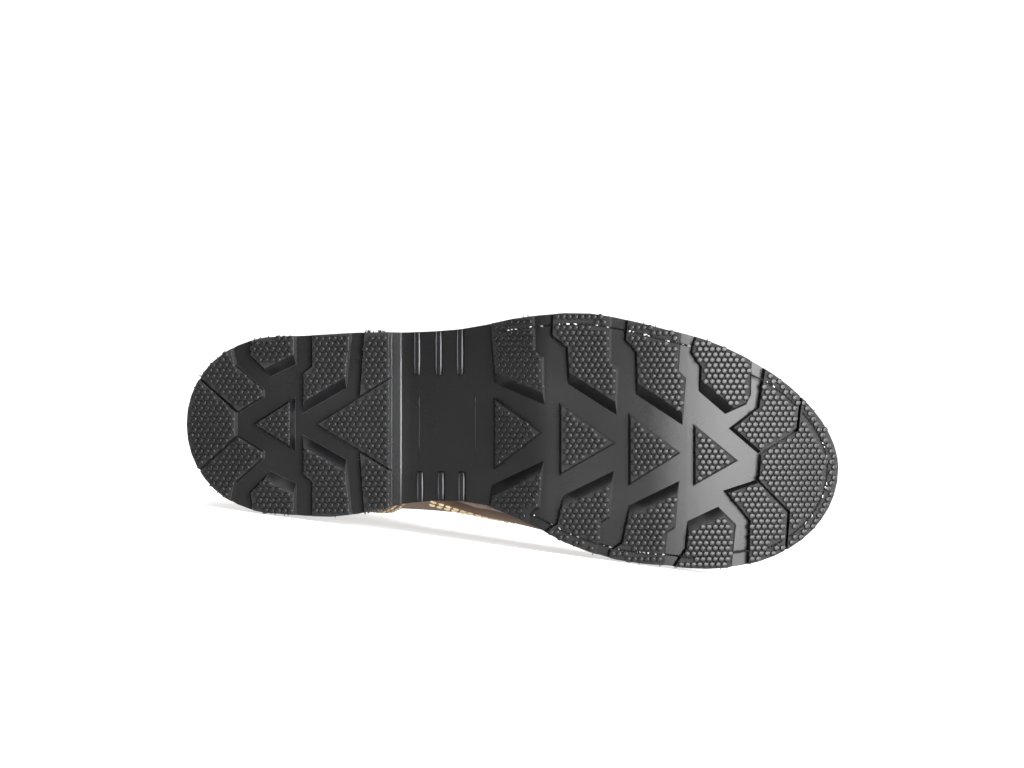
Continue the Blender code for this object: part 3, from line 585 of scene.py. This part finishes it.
# Line round the forefoot at an inset from the sole's edge, lateral waist to toe to medial waist.
def forefootLine(tree, inset, step):
    places = []
    x = forefoot["lateralStart"]
    while x < forefoot["toeCentre"]:
        places.append((x, -forefoot["sideRays"], Vector((0.0, 1.0, 0.0))))
        x += step
    turnSteps = int(math.pi * forefoot["toeRadius"] / step)
    for i in range(turnSteps + 1):
        turn = -math.pi / 2 + math.pi * i / turnSteps
        outward = Vector((math.cos(turn), math.sin(turn), 0.0))
        centre = Vector((forefoot["toeCentre"], centreLine(forefoot["toeCentre"]), 0.0))
        away = centre + forefoot["toeRays"] * outward
        places.append((away.x, away.y, -outward))
    x = forefoot["toeCentre"]
    while x > forefoot["medialStart"]:
        places.append((x, forefoot["sideRays"], Vector((0.0, -1.0, 0.0))))
        x -= step
    line = []
    for x, y, towards in places:
        station = min(x, forefoot["toeEnd"]) if abs(towards.x) < 0.5 else forefoot["toeMiddle"]
        height = forefoot["edgeHeight"] + soleRise(station)
        hit = tree.ray_cast(toRow(x, y, height), bootTurn @ towards)[0]
        if hit is not None:
            spot = toBoot(hit) + towards * inset
            line.append((spot.x, spot.y))
    return line


domes = {
    "pitch": 2.87,
    "rowGap": 2.49,
    "radius": 1.42,
    "height": 0.62,
    "sides": 9,
    "rim": 0.44,
    "inside": 0.6,
    "threadGapSquared": 1.9,
    "threadStep": 1.4,
    "rows": (-62.0, 78.0),
    "foreRange": (135.0, 303.0),
    "heelRange": (0.5, 96.0),
}
domeRings = [(1.0, -0.1), (0.93, 0.6), (0.79, 0.95), (0.64, 0.995)]


# Low round dome on a lug face: rings as shares of radius and height, and a top.
def addDome(points, faces, centre, normal):
    along = (bootTurn.col[0] - bootTurn.col[0].dot(normal) * normal).normalized()
    across = normal.cross(along)
    start = len(points)
    sides = domes["sides"]
    for share, rise in domeRings:
        lift = rise * domes["height"] * mm
        for i in range(sides):
            turn = 2 * math.pi * i / sides
            reach = domes["radius"] * share * mm
            points.append(centre + normal * lift + reach * (math.cos(turn) * along + math.sin(turn) * across))
    points.append(centre + normal * domes["height"] * mm)
    for ring in range(len(domeRings) - 1):
        for i in range(sides):
            j = (i + 1) % sides
            low = start + ring * sides
            faces.append((low + i, low + j, low + sides + j, low + sides + i))
    top = start + len(domeRings) * sides
    for i in range(sides):
        faces.append((top - sides + i, top - sides + (i + 1) % sides, top))


def ringAround(x, y, reach):
    turns = [math.pi / 3 * i for i in range(6)]
    return [(x + reach * math.cos(turn), y + reach * math.sin(turn)) for turn in turns]


# A dome needs the lug's full height round its middle and the sole's outline round its rim.
def domeFits(tree, x, y, fullThickness):
    rim = ringAround(x, y, domes["radius"] * domes["rim"])
    outside = ringAround(x, y, domes["radius"] * domes["inside"])
    if any(thicknessAt(tree, *place)[0] <= fullThickness for place in rim):
        return False
    return all(castFromBelow(tree, *place)[0] is not None for place in outside)


def buildDomes(name, material, tree, fullThickness, stations, keepOff):
    points = []
    faces = []
    nearest = domes["threadGapSquared"]
    row = 0
    y = domes["rows"][0]
    while y < domes["rows"][1]:
        x = stations[0] + (domes["pitch"] / 2 if row % 2 else 0.0)
        while x < stations[1]:
            thickness, spot, normal = thicknessAt(tree, x, y)
            onLug = thickness > fullThickness
            if onLug and not any((x - px) ** 2 + (y - py) ** 2 < nearest for px, py in keepOff):
                if domeFits(tree, x, y, fullThickness):
                    addDome(points, faces, spot, normal)
            x += domes["pitch"]
        row += 1
        y += domes["rowGap"]
    finishPiece(meshPiece(name, points, faces), material, "sole_rubber")
    print(name, "dome faces", len(faces))


whiskers = {
    "count": 90,
    "length": 1.3,
    "radius": 0.22,
    "heights": (0.6, 2.5),
    "stretches": ((3.0, 92.0), (80.0, 92.0), (150.0, 298.0)),
    "heelEnd": 96.0,
    "springFrom": 200.0,
    "rays": 120.0,
    "lean": 0.7,
    "sunk": 0.3,
}


# Short bits of moulding flash that stand out of the sole's edge.
def buildWhiskers(outsoleTree, heelTree, material):
    points = []
    faces = []
    for _ in range(whiskers["count"]):
        side = random.choice((lateral, medial))
        x = random.choice([random.uniform(*stretch) for stretch in whiskers["stretches"]])
        tree = heelTree if x < whiskers["heelEnd"] else outsoleTree
        spring = soleRise(x) if x > whiskers["springFrom"] else 0.0
        height = random.uniform(*whiskers["heights"]) + spring
        spot, normal = tree.ray_cast(toRow(x, side * whiskers["rays"], height), -side * bootTurn.col[1])[:2]
        if spot is None:
            continue
        lean = Vector([random.uniform(-whiskers["lean"], whiskers["lean"]) for _ in range(3)])
        reach = (normal + lean).normalized() * random.uniform(0.5, 1.0) * whiskers["length"] * mm
        start = spot - reach * whiskers["sunk"]
        addStitch(points, faces, start, spot + reach, whiskers["radius"] * mm, bootTurn.col[2])
    finishPiece(meshPiece("rubber_flash", points, faces), material, "sole_rubber")


# Faint raised lines at both ends of the bare panel on the waist.
waistPanel = {"lines": (106.9, 133.2), "half": 17.5, "radius": 0.24}


def buildWaistPanel(tree, material):
    points = []
    faces = []
    for x in waistPanel["lines"]:
        start, normal = castFromBelow(tree, x, -waistPanel["half"])[:2]
        end = castFromBelow(tree, x, waistPanel["half"])[0]
        addStitch(points, faces, start, end, waistPanel["radius"] * mm, normal)
    finishPiece(meshPiece("waist_panel_lines", points, faces), material, "sole_rubber")


# Painted highlights: places of the light lines on the rib edges and the heel's breast.
edgeHighlightLines = {
    "ribs": {lateral: (106.0, 116.1, 126.1), medial: (107.4, 117.1, 126.8)},
    "ribHalf": 0.95,
    "ribInner": 22.9,
    "breast": 98.4,
    "radius": 0.48,
    "step": 0.5,
}


# Place of the sole's edge at a station, stepping outwards from a place on it.
def edgeOut(tree, x, y, side):
    while castFromBelow(tree, x, y + side * edgeHighlightLines["step"])[0] is not None:
        y += side * edgeHighlightLines["step"]
    return y


# Light lines along both edges of each rib at the waist and down the heel's breast: painted highlights where
# these edges catch the light.
def buildEdgeHighlightLines(outsoleTree, heelTree, material):
    points = []
    faces = []
    lines = []
    for side, stations in edgeHighlightLines["ribs"].items():
        for station in stations:
            for x in (station - edgeHighlightLines["ribHalf"], station + edgeHighlightLines["ribHalf"]):
                inner = side * edgeHighlightLines["ribInner"]
                lines.append((outsoleTree, x, inner, edgeOut(outsoleTree, x, inner, side)))
    x = edgeHighlightLines["breast"]
    lines.append((heelTree, x, edgeOut(heelTree, x, 0.0, lateral), edgeOut(heelTree, x, 0.0, medial)))
    for tree, x, first, last in lines:
        start, normal = castFromBelow(tree, x, first)[:2]
        end = castFromBelow(tree, x, last)[0]
        addStitch(points, faces, start, end, edgeHighlightLines["radius"] * mm, normal)
    finishPiece(meshPiece("edge_highlight_lines", points, faces), material, "sole_rubber")


def buildSole():
    domeRubber = rubberMaterial("dome_rubber", dusty=0.25)
    matteRubber = rubberMaterial("matte_rubber", dusty=0.1, rougher=0.36)
    plainRubber = rubberMaterial("sole_rubber", dusty=0.12)
    outsoleTree = treeOf(nodes["outsole"])
    heelTree = treeOf(nodes["heel"])
    # Painted highlight: nine times lighter rubber on all rounded lug edges.
    edgeHighlightRubber = rubberMaterial("edge_highlight_rubber", dusty=0.12, lighter=9.0)
    # Painted highlight: a far lighter rubber for the lines along the rib edges and the heel's breast.
    lineHighlightRubber = rubberMaterial("line_highlight_rubber", dusty=0.3, rougher=0.1, lighter=24.0)
    rubbers = (plainRubber, matteRubber, edgeHighlightRubber)
    outsole = roundedRubber("outsole", "outsole_rubber", rubbers, outsoleTree, foreThickness)
    heel = roundedRubber("heel", "heel_rubber", rubbers, heelTree, heelThickness)
    outsoleTree = treeOf(outsole)
    heelTree = treeOf(heel)
    stitched = forefootLine(outsoleTree, forefoot["threadInset"], domes["threadStep"])
    buildDomes("outsole_domes", domeRubber, outsoleTree, foreThickness, domes["foreRange"], stitched)
    buildDomes("heel_domes", domeRubber, heelTree, heelThickness, domes["heelRange"], [])
    buildSoleThread(outsoleTree)
    buildWhiskers(outsoleTree, heelTree, domeRubber)
    buildWaistPanel(outsoleTree, plainRubber)
    buildEdgeHighlightLines(outsoleTree, heelTree, lineHighlightRubber)
    print("sole done")


# Rings of a stitch as shares of its length and radius.
stitchRings = [(0.0, 0.35), (0.2, 0.9), (0.5, 1.0), (0.8, 0.9), (1.0, 0.35)]
stitchSides = 6


# Small spindle of thread between two points.
def addStitch(points, faces, start, end, radius, up):
    along = (end - start).normalized()
    side = along.cross(up).normalized()
    lift = side.cross(along)
    sides = stitchSides
    first = len(points)
    length = end - start
    for share, width in stitchRings:
        for i in range(sides):
            turn = 2 * math.pi * i / sides
            offset = radius * width * (math.cos(turn) * side + math.sin(turn) * lift)
            points.append(start + length * share + offset)
    lastRing = len(stitchRings) - 1
    for ring in range(lastRing):
        for i in range(sides):
            j = (i + 1) % sides
            low = first + ring * sides
            faces.append((low + i, low + j, low + sides + j, low + sides + i))
    faces.append(tuple(first + sides - 1 - i for i in range(sides)))
    faces.append(tuple(first + lastRing * sides + i for i in range(sides)))


soleThread = {
    "radius": 0.32,
    "step": 1.7,
    "shown": 0.24,
    "slitRadius": 0.5,
    "longest": 3.0,
    "lean": 0.35,
    "lifts": (0.15, 0.45),
    "reaches": (0.6, 1.7),
    "thickness": (0.5, 1.2),
    "dark": (0.08, 0.076, 0.070),
    "light": (0.55, 0.54, 0.51),
}


# One worn bit of thread that lies loosely in the slit.
def addThreadBit(points, faces, spot, after, normal):
    lean = Vector([random.uniform(-soleThread["lean"], soleThread["lean"]) for _ in range(3)])
    along = ((after - spot).normalized() + lean).normalized()
    begin = spot + normal * random.uniform(*soleThread["lifts"]) * mm
    reach = random.uniform(*soleThread["reaches"]) * mm
    radius = soleThread["radius"] * random.uniform(*soleThread["thickness"]) * mm
    addStitch(points, faces, begin, begin + along * reach, radius, normal)


# Dark line round the forefoot, painted shadow of the stitch slit, with worn bits of thread in it.
def buildSoleThread(tree):
    line = forefootLine(tree, forefoot["threadInset"], soleThread["step"])
    spots = [castFromBelow(tree, *place)[:2] for place in line]
    slitPoints = []
    slitFaces = []
    points = []
    faces = []
    for (spot, normal), (after, _) in zip(spots, spots[1:]):
        if spot is None or after is None:
            continue
        addStitch(slitPoints, slitFaces, spot, after, soleThread["slitRadius"] * mm, normal)
        if random.random() > soleThread["shown"] or (after - spot).length > soleThread["longest"] * mm:
            continue
        for _ in range(random.randint(1, 2)):
            addThreadBit(points, faces, spot, after, normal)
    # Painted shadow: near-black, rough rubber on the tube along the slit.
    slitShadow = rubberMaterial("slit_shadow_rubber", dusty=0.0, rougher=0.6, lighter=0.3)
    finishPiece(meshPiece("stitch_slit_shadow", slitPoints, slitFaces), slitShadow, "sole_rubber")
    thread = threadMaterial("sole_thread", soleThread["dark"], soleThread["light"])
    finishPiece(meshPiece("sole_thread", points, faces), thread, "welt_leather")


# Leather: creases, panels, overlays, stitches and laces

# Soft troughs in side view: a line from start to end, millimetres of depth and width.
creases = [
    {"start": (216, 70), "end": (196, 42), "depth": 1.2, "width": 4.0},
    {"start": (203, 79), "end": (178, 47), "depth": 1.5, "width": 4.6},
    {"start": (229, 68), "end": (212, 44), "depth": 0.8, "width": 3.6},
    {"start": (18, 121), "end": (78, 103), "depth": 1.7, "width": 5.5},
    {"start": (22, 141), "end": (84, 125), "depth": 1.2, "width": 6.5},
    {"start": (122, 112), "end": (88, 97), "depth": 1.1, "width": 5.0},
]


# Past its ends a crease fades out, and beside it a low ridge rises.
creaseForm = {"pastEnds": 0.2, "fading": 3.0, "ridge": 0.4, "ridgeAt": 1.7}


# How far the leather at a place of the boot sinks, in millimetres.
def creaseDepth(x, z):
    total = 0.0
    for crease in creases:
        start = Vector(crease["start"])
        along = Vector(crease["end"]) - start
        share = (Vector((x, z)) - start).dot(along) / along.length_squared
        past = creaseForm["pastEnds"]
        fade = smoothstep(creaseForm["fading"] * min(share + past, 1.0 + past - share))
        gap = abs((Vector((x, z)) - start).cross(along.normalized())) / crease["width"]
        ridge = creaseForm["ridge"] * math.exp(-((gap - creaseForm["ridgeAt"]) ** 2))
        total += fade * crease["depth"] * (math.exp(-gap * gap) - ridge)
    return total


# Height of the foot's middle, the shaft's middle, and the heights where one gives way to the other.
bootInside = {"footHeight": 40.0, "shaftMiddle": 66.0, "shaftFrom": 85.0, "shaftBlend": 40.0}


# Middle of the boot beside a place of its leather.
def middleBeside(place):
    shaft = smoothstep((place.z - bootInside["shaftFrom"]) / bootInside["shaftBlend"])
    x = place.x + shaft * (bootInside["shaftMiddle"] - place.x)
    z = bootInside["footHeight"] + shaft * (place.z - bootInside["footHeight"])
    return Vector((x, centreLine(place.x), z))


# Sinks every vertex of a leather piece towards the middle of the boot.
def creaseLeather(piece):
    for vertex in piece.data.vertices:
        place = toBoot(vertex.co)
        inward = (middleBeside(place) - place).normalized()
        vertex.co = toRow(*(place + inward * creaseDepth(place.x, place.z)))


# The seam between vamp and quarter in side view, from the sole at the arch up to the throat.
vampSeam = [(114, 31), (130, 35), (140, 38), (151, 42), (166, 50.5), (181, 61.5), (195, 71.5), (209, 81)]
eyestayEdge = [(188, 64), (168, 75), (148, 92), (130, 112), (116, 135), (106, 158), (101, 176)]
counterEdge = [(103, 33.5), (95, 46), (82, 67), (60, 86), (32, 99), (14, 103)]
collarEdge = [(14, 176), (40, 176), (70, 175), (98, 174)]
seamRunOut = 4.0  # millimetres forward for each one above the seam's top


def seamAhead(z):
    for (lowX, lowZ), (highX, highZ) in zip(vampSeam, vampSeam[1:]):
        if z <= highZ:
            return lowX + (highX - lowX) * (z - lowZ) / (highZ - lowZ)
    return vampSeam[-1][0] + seamRunOut * (z - vampSeam[-1][1])


def softCopy(nodeName, pieceName, levels):
    piece = copyNode(nodeName, pieceName)
    bpy.ops.object.mode_set(mode="EDIT")
    bpy.ops.mesh.select_all(action="SELECT")
    bpy.ops.mesh.tris_convert_to_quads(face_threshold=math.radians(50), shape_threshold=math.radians(60))
    bpy.ops.object.mode_set(mode="OBJECT")
    smooth = piece.modifiers.new("soften", "SUBSURF")
    smooth.levels = levels
    applyModifiers(piece)
    bpy.ops.object.shade_smooth()
    return piece


# Painted shade on the vamp beside the sole, and how far a face leans inward before it is lining.
upperFinish = {"paintedShade": 0.75, "shadeHeight": 18.0, "shadeFade": 10.0, "liningLean": -0.1}


def buildUpper():
    piece = softCopy("upper", "upper_leather", 2)
    creaseLeather(piece)
    piece.data.materials.append(leatherMaterial("upper_leather", True))
    piece.data.materials.append(nappedMaterial("lining_leather", lining))
    ahead = piece.data.attributes.new("seamAhead", "FLOAT", "POINT")
    paintedShade = piece.data.attributes.new("soleShade", "FLOAT", "POINT")
    for vertex in piece.data.vertices:
        place = toBoot(vertex.co)
        inFront = place.x - seamAhead(place.z)
        ahead.data[vertex.index].value = inFront
        # Painted shade: darker on the vamp towards the sole, fading out above it.
        overSole = place.z - soleRise(place.x) - soleSettings["plateTop"]
        low = smoothstep((upperFinish["shadeHeight"] - overSole) / upperFinish["shadeFade"])
        paintedShade.data[vertex.index].value = upperFinish["paintedShade"] * smoothstep(inFront) * low
    for polygon in piece.data.polygons:
        place = toBoot(polygon.center)
        outward = bootTurn @ (place - middleBeside(place))
        facesOut = polygon.normal.dot(outward) > upperFinish["liningLean"] * outward.length
        polygon.material_index = 0 if facesOut else 1
    return finishPiece(piece, None, "upper_leather", "upper")


overlay = {
    "edgeRound": 0.5,
    "edgeSegments": 2,
    "edgeAngle": 50.0,
    "smoothAngle": 48.0,
    "pressedUnder": 1.1,
    "sunk": 0.25,
}


# Overlay with soft edges, pressed on to the upper.
def buildOverlay(nodeName, pieceName, material, upperTree):
    piece = copyNode(nodeName, pieceName)
    addBevel(piece, overlay)
    applyModifiers(piece)
    for vertex in piece.data.vertices:
        spot, normal, _, gap = upperTree.find_nearest(vertex.co)
        if gap < overlay["pressedUnder"] * mm:
            vertex.co = spot - overlay["sunk"] * mm * normal
    creaseLeather(piece)
    bpy.ops.object.shade_smooth_by_angle(angle=math.radians(overlay["smoothAngle"]))
    return finishPiece(piece, material, "overlay_leather", nodeName)


def buildTongue(material):
    piece = softCopy("tongue", "tongue_leather", 2)
    finishPiece(piece, material, "upper_leather", "tongue")


# Points along a side-view line, moved to one side of it.
def stepsAlong(line, spacing, shift):
    places = []
    left = 0.0
    for start, end in zip(line, line[1:]):
        a = Vector(start)
        b = Vector(end)
        along = (b - a).normalized()
        aside = Vector((along.y, -along.x)) * shift
        while left < (b - a).length:
            places.append((a + along * left + aside, along))
            left += spacing
        left -= (b - a).length
    return places


# Rows of stitches beside each seam: how far aside, and the spacing and radius of the thread.
seams = [
    {"line": vampSeam[:-1], "shifts": (-2.2, -5.4), "spacing": 3.6, "radius": 0.74},
    {"line": eyestayEdge, "shifts": (2.2, 4.8), "spacing": 3.3, "radius": 0.42},
    {"line": counterEdge, "shifts": (-2.2, -4.8), "spacing": 3.3, "radius": 0.42},
    {"line": collarEdge, "shifts": (0.0,), "spacing": 3.3, "radius": 0.42},
]
stitches = {"half": 0.4, "longest": 1.6, "lift": 0.15, "rays": 160.0}


# Row of stitches on one side of the boot.
def stitchRow(points, faces, tree, seam, side, shift):
    across = -side * bootTurn.col[1]
    spacing = seam["spacing"]
    for place, along in stepsAlong(seam["line"], spacing, shift):
        hits = []
        for share in (-stitches["half"], stitches["half"]):
            spot = place + along * spacing * share
            hits.append(tree.ray_cast(toRow(spot.x, side * stitches["rays"], spot.y), across)[:2])
        (start, normal), (end, _) = hits
        if start is None or end is None or (start - end).length > stitches["longest"] * spacing * mm:
            continue
        lift = normal * stitches["lift"] * mm
        addStitch(points, faces, start + lift, end + lift, seam["radius"] * mm, normal)


# Hand-sewn stitches over the raised seam round the toe.
mocSeam = {
    "halfWidths": [
        (206.5, 27.0), (216, 31.0), (230, 34.5), (245, 35.0),
        (259, 32.0), (271, 25.5), (279.5, 16.0), (283.5, 6.0),
    ],
    "spacing": 5.2,
    "across": (-3.6, -1.2, 1.2, 3.6),
    "lift": 0.2,
    "radius": 0.75,
}


def stitchMocSeam(points, faces, tree):
    lateralHalf = [(x, centreLine(x) - half) for x, half in mocSeam["halfWidths"]]
    medialHalf = [(x, centreLine(x) + half) for x, half in mocSeam["halfWidths"]]
    for place, along in stepsAlong(lateralHalf + medialHalf[::-1], mocSeam["spacing"], 0.0):
        aside = Vector((along.y, -along.x))
        spots = []
        for out in mocSeam["across"]:
            spot = place + aside * out
            spots.append(castFromAbove(tree, spot.x, spot.y)[:2])
        if any(hit is None for hit, normal in spots):
            continue
        for (start, startNormal), (end, endNormal) in zip(spots, spots[1:]):
            start = start + startNormal * mocSeam["lift"] * mm
            end = end + endNormal * mocSeam["lift"] * mm
            addStitch(points, faces, start, end, mocSeam["radius"] * mm, startNormal)


weltSeam = {"inset": 3.0, "spacing": 4.4, "length": 0.82, "lift": 0.2, "radius": 0.6}


def stitchWelt(points, faces, outsoleTree, weltTree):
    line = forefootLine(outsoleTree, weltSeam["inset"], weltSeam["spacing"])
    for here, after in zip(line, line[1:]):
        start, normal = castFromAbove(weltTree, *here)[:2]
        end = castFromAbove(weltTree, *after)[0]
        if start is None or end is None:
            continue
        along = (end - start) * weltSeam["length"]
        lift = normal * weltSeam["lift"] * mm
        addStitch(points, faces, start + lift, start + along + lift, weltSeam["radius"] * mm, normal)


creamThread = {"dark": (0.50, 0.37, 0.20), "light": (0.84, 0.68, 0.44)}


def buildStitches(tree):
    points = []
    faces = []
    for side in (lateral, medial):
        for seam in seams:
            for shift in seam["shifts"]:
                stitchRow(points, faces, tree, seam, side, shift)
    stitchMocSeam(points, faces, tree)
    stitchWelt(points, faces, treeOf(nodes["outsole"]), treeOf(nodes["welt"]))
    thread = threadMaterial("cream_thread", creamThread["dark"], creamThread["light"])
    finishPiece(meshPiece("cream_stitches", points, faces), thread, "overlay_leather")
    print("stitch faces", len(faces))


weltStrip = {
    "bulgeMiddle": 136.0,
    "bulgeHalf": 21.0,
    "bulgeOut": 3.4,
    "outerFrom": 30.0,
    "outerFade": 4.0,
    "edgeRound": 0.4,
    "edgeSegments": 2,
    "edgeAngle": 50.0,
    "smoothAngle": 40.0,
}


# Welt strip, a little wider than the sole at the arch as in the photo.
def buildWelt():
    piece = copyNode("welt", "welt_strip")
    for vertex in piece.data.vertices:
        place = toBoot(vertex.co)
        share = abs(place.x - weltStrip["bulgeMiddle"]) / weltStrip["bulgeHalf"]
        outer = smoothstep((place.y - weltStrip["outerFrom"]) / weltStrip["outerFade"])
        place.y += weltStrip["bulgeOut"] * smoothstep(1.0 - share) * outer
        vertex.co = toRow(*place)
    addBevel(piece, weltStrip)
    applyModifiers(piece)
    bpy.ops.object.shade_smooth_by_angle(angle=math.radians(weltStrip["smoothAngle"]))
    finishPiece(piece, weltMaterial(), "welt_leather", "welt")


lace = {
    "radius": 1.75,
    "rows": 6,
    "sunk": 1.6,
    "lipUp": 0.6,
    "lipIn": 1.0,
    "overRing": 2.6,
    "pastRing": 5.0,
    "overTongue": 4.0,
    "underCross": 0.3,
    "overCross": 3.4,
}


def middleOf(nodeName):
    points = [vertex.co for vertex in nodes[nodeName].data.vertices]
    return sum(points, Vector()) / len(points)


# Tube through a few points, smooth between them.
def laceTube(points):
    curve = bpy.data.curves.new("lace", "CURVE")
    curve.dimensions = "3D"
    curve.bevel_depth = lace["radius"] * mm
    curve.bevel_resolution = 3
    curve.use_fill_caps = True
    curve.resolution_u = 6
    spline = curve.splines.new("BEZIER")
    spline.bezier_points.add(len(points) - 1)
    for knot, point in zip(spline.bezier_points, points):
        knot.co = point
        knot.handle_left_type = "AUTO"
        knot.handle_right_type = "AUTO"
    tube = bpy.data.objects.new("lace", curve)
    bpy.context.scene.collection.objects.link(tube)
    selectOnly(tube)
    bpy.ops.object.convert(target="MESH")
    return bpy.context.object


# Where a lace leaves a ring: in it, on its lip and past it.
def laceEnd(ring, out, towards):
    return [
        ring - out * lace["sunk"] * mm,
        ring + out * lace["lipUp"] * mm + towards * lace["lipIn"] * mm,
        ring + out * lace["overRing"] * mm + towards * lace["pastRing"] * mm,
    ]


# One length of lace from the ring at the start over the tongue to the ring at the end.
def laceLength(start, startOut, end, endOut, lift):
    middle = (start + end) / 2
    out = (startOut + endOut).normalized()
    crossing = middle + out * (lift + lace["overTongue"]) * mm
    firstEnd = laceEnd(start, startOut, (middle - start).normalized())
    lastEnd = laceEnd(end, endOut, (middle - end).normalized())
    return laceTube(firstEnd + [crossing] + lastEnd[::-1])


def buildLaces(tree):
    rings = {}
    for name, side in (("lateral", lateral), ("medial", medial)):
        for row in range(1, lace["rows"] + 1):
            centre = middleOf("eyelet_{}_{}".format(name, row))
            rings[side, row] = (centre, tree.find_nearest(centre)[1])
    tubes = [laceLength(*rings[medial, 1], *rings[lateral, 1], lace["underCross"])]
    for row in range(1, lace["rows"]):
        tubes.append(laceLength(*rings[medial, row], *rings[lateral, row + 1], lace["underCross"]))
        tubes.append(laceLength(*rings[lateral, row], *rings[medial, row + 1], lace["overCross"]))
    selectOnly(*tubes)
    bpy.ops.object.join()
    piece = bpy.context.object
    piece.name = "boot_lace"
    bpy.ops.object.shade_smooth()
    replaced = [name for name in nodes if name.startswith("lace_")]
    finishPiece(piece, laceMaterial(), "lace_cord", *replaced)


# All eyelet rings in one piece, rounder than their solids.
def buildEyelets():
    names = [name for name in nodes if name.startswith("eyelet_")]
    rings = [softCopy(name, name + "_ring", 1) for name in names]
    selectOnly(*rings)
    bpy.ops.object.join()
    piece = bpy.context.object
    piece.name = "eyelet_rings"
    finishPiece(piece, brassMaterial(), "eyelet_brass", *names)


def dressInsole():
    insole = nodes["insole"]
    insole.data.materials.clear()
    insole.data.materials.append(nappedMaterial("insole_board", insoleBoard))


def buildLeather():
    upper = buildUpper()
    overlayLeather = leatherMaterial("overlay_leather", False)
    upperTree = treeOf(nodes["upper"])
    overlays = []
    for name in ("eyestay_lateral", "eyestay_medial", "heel_counter", "moc_seam"):
        overlays.append(buildOverlay(name, name + "_leather", overlayLeather, upperTree))
    buildTongue(overlayLeather)
    buildWelt()
    leatherTree = treeOf(upper, *overlays)
    buildStitches(leatherTree)
    buildEyelets()
    buildLaces(leatherTree)
    dressInsole()
    print("leather done")


# Camera, floor and light

view = {
    "middle": (150.3, -18.5),
    "millimetresPerPixel": 0.4618,
    "pixels": 1024,
    "lens": 150.0,
    "sensor": 36.0,
}


def buildCamera():
    distance = view["lens"] * view["pixels"] * view["millimetresPerPixel"] / view["sensor"]
    data = bpy.data.cameras.new("camera")
    data.lens = view["lens"]
    data.sensor_width = view["sensor"]
    data.clip_end = 50.0
    camera = bpy.data.objects.new("camera", data)
    bpy.context.scene.collection.objects.link(camera)
    back = -bootTurn.col[2].normalized()
    up = -bootTurn.col[1].normalized()
    right = up.cross(back)
    camera.matrix_world = Matrix((right, up, back)).transposed().to_4x4()
    camera.location = toRow(view["middle"][0], view["middle"][1], -distance)
    bpy.context.scene.camera = camera


stageSettings = {"width": 9.0, "near": -3.5, "far": 3.0, "bend": 1.2, "height": 4.0, "steps": 12}
floorGlow = {"From Min": 0.1, "From Max": 1.6, "To Min": 0.62, "To Max": 1.0}  # brighter away from the camera


def floorMaterial():
    material, tree, shader = startMaterial("pale_floor")
    place = objectPlace(tree)
    shade = noise(tree, place, 3.0)
    colour = ramp(tree, shade, (0.3, (0.40, 0.40, 0.40)), (0.7, (0.42, 0.42, 0.42)))
    tree.links.new(colour, shader.inputs["Base Color"])
    shader.inputs["Roughness"].default_value = 0.9
    shader.inputs["Specular IOR Level"].default_value = 0.1
    shader.inputs["Emission Color"].default_value = (1.0, 1.0, 1.0, 1.0)
    axes = addNode(tree, "ShaderNodeSeparateXYZ")
    tree.links.new(place, axes.inputs["Vector"])
    glow = addNode(tree, "ShaderNodeMapRange", None, floorGlow)
    tree.links.new(axes.outputs["Y"], glow.inputs["Value"])
    tree.links.new(glow.outputs["Result"], shader.inputs["Emission Strength"])
    return material


# Pale floor that bends up into the background far behind the boot.
def buildFloor():
    bpy.ops.mesh.primitive_plane_add(size=1.0)
    floor = bpy.context.object
    floor.name = "floor"
    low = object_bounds()[0]
    mesh = bmesh.new()
    profile = [(stageSettings["near"], 0.0), (stageSettings["far"], 0.0)]
    for i in range(1, stageSettings["steps"] + 1):
        turn = math.pi / 2 * i / stageSettings["steps"]
        bend = stageSettings["bend"]
        profile.append((stageSettings["far"] + bend * math.sin(turn), bend * (1 - math.cos(turn))))
    profile.append((profile[-1][0], stageSettings["height"]))
    half = stageSettings["width"] / 2
    rows = [[mesh.verts.new((side * half, y, low[2] + z)) for side in (-1, 1)] for y, z in profile]
    for first, second in zip(rows, rows[1:]):
        mesh.faces.new((first[0], first[1], second[1], second[0]))
    mesh.to_mesh(floor.data)
    mesh.free()
    floor.data.materials.append(floorMaterial())


# Soft panels in metres: how far right, up and in front of the ball they stand, and their width and height.
panels = [
    {"name": "toe_panel", "place": (0.60, 0.12, 1.52), "size": (0.66, 0.95), "watts": 72.0},
    {"name": "side_panel", "place": (1.35, 0.55, 0.85), "size": (0.5, 0.9), "watts": 50.0},
    {"name": "right_strip", "place": (1.2, 0.3, 0.15), "size": (0.3, 1.0), "watts": 64.0},
    {"name": "left_strip", "place": (-1.3, 0.3, 0.1), "size": (0.4, 0.6), "watts": 12.0},
    {"name": "top_panel", "place": (-0.15, 1.5, 0.32), "size": (2.2, 0.8), "watts": 46.0},
    {"name": "back_panel", "place": (-0.5, 1.5, -1.2), "size": (1.6, 1.0), "watts": 20.0},
]
ball = (190.0, 5.0, 10.0)
skyLight = {"colour": (0.9, 0.93, 1.0, 1.0), "strength": 0.05}


def addPanel(panel):
    data = bpy.data.lights.new(panel["name"], "AREA")
    data.shape = "RECTANGLE"
    data.size, data.size_y = panel["size"]
    data.energy = panel["watts"]
    lamp = bpy.data.objects.new(panel["name"], data)
    bpy.context.scene.collection.objects.link(lamp)
    right, up, front = panel["place"]
    target = toRow(*ball)
    lamp.location = target + Vector((right, -front, up))
    lamp.rotation_euler = (target - lamp.location).to_track_quat("-Z", "Y").to_euler()


def buildLight():
    for panel in panels:
        addPanel(panel)
    world = bpy.data.worlds.new("studio")
    world.use_nodes = True
    background = world.node_tree.nodes["Background"]
    background.inputs["Color"].default_value = skyLight["colour"]
    background.inputs["Strength"].default_value = skyLight["strength"]
    bpy.context.scene.world = world
    bpy.context.scene.view_settings.view_transform = "Standard"
    print("light done")


buildSole()
buildLeather()
buildFloor()
buildCamera()
buildLight()
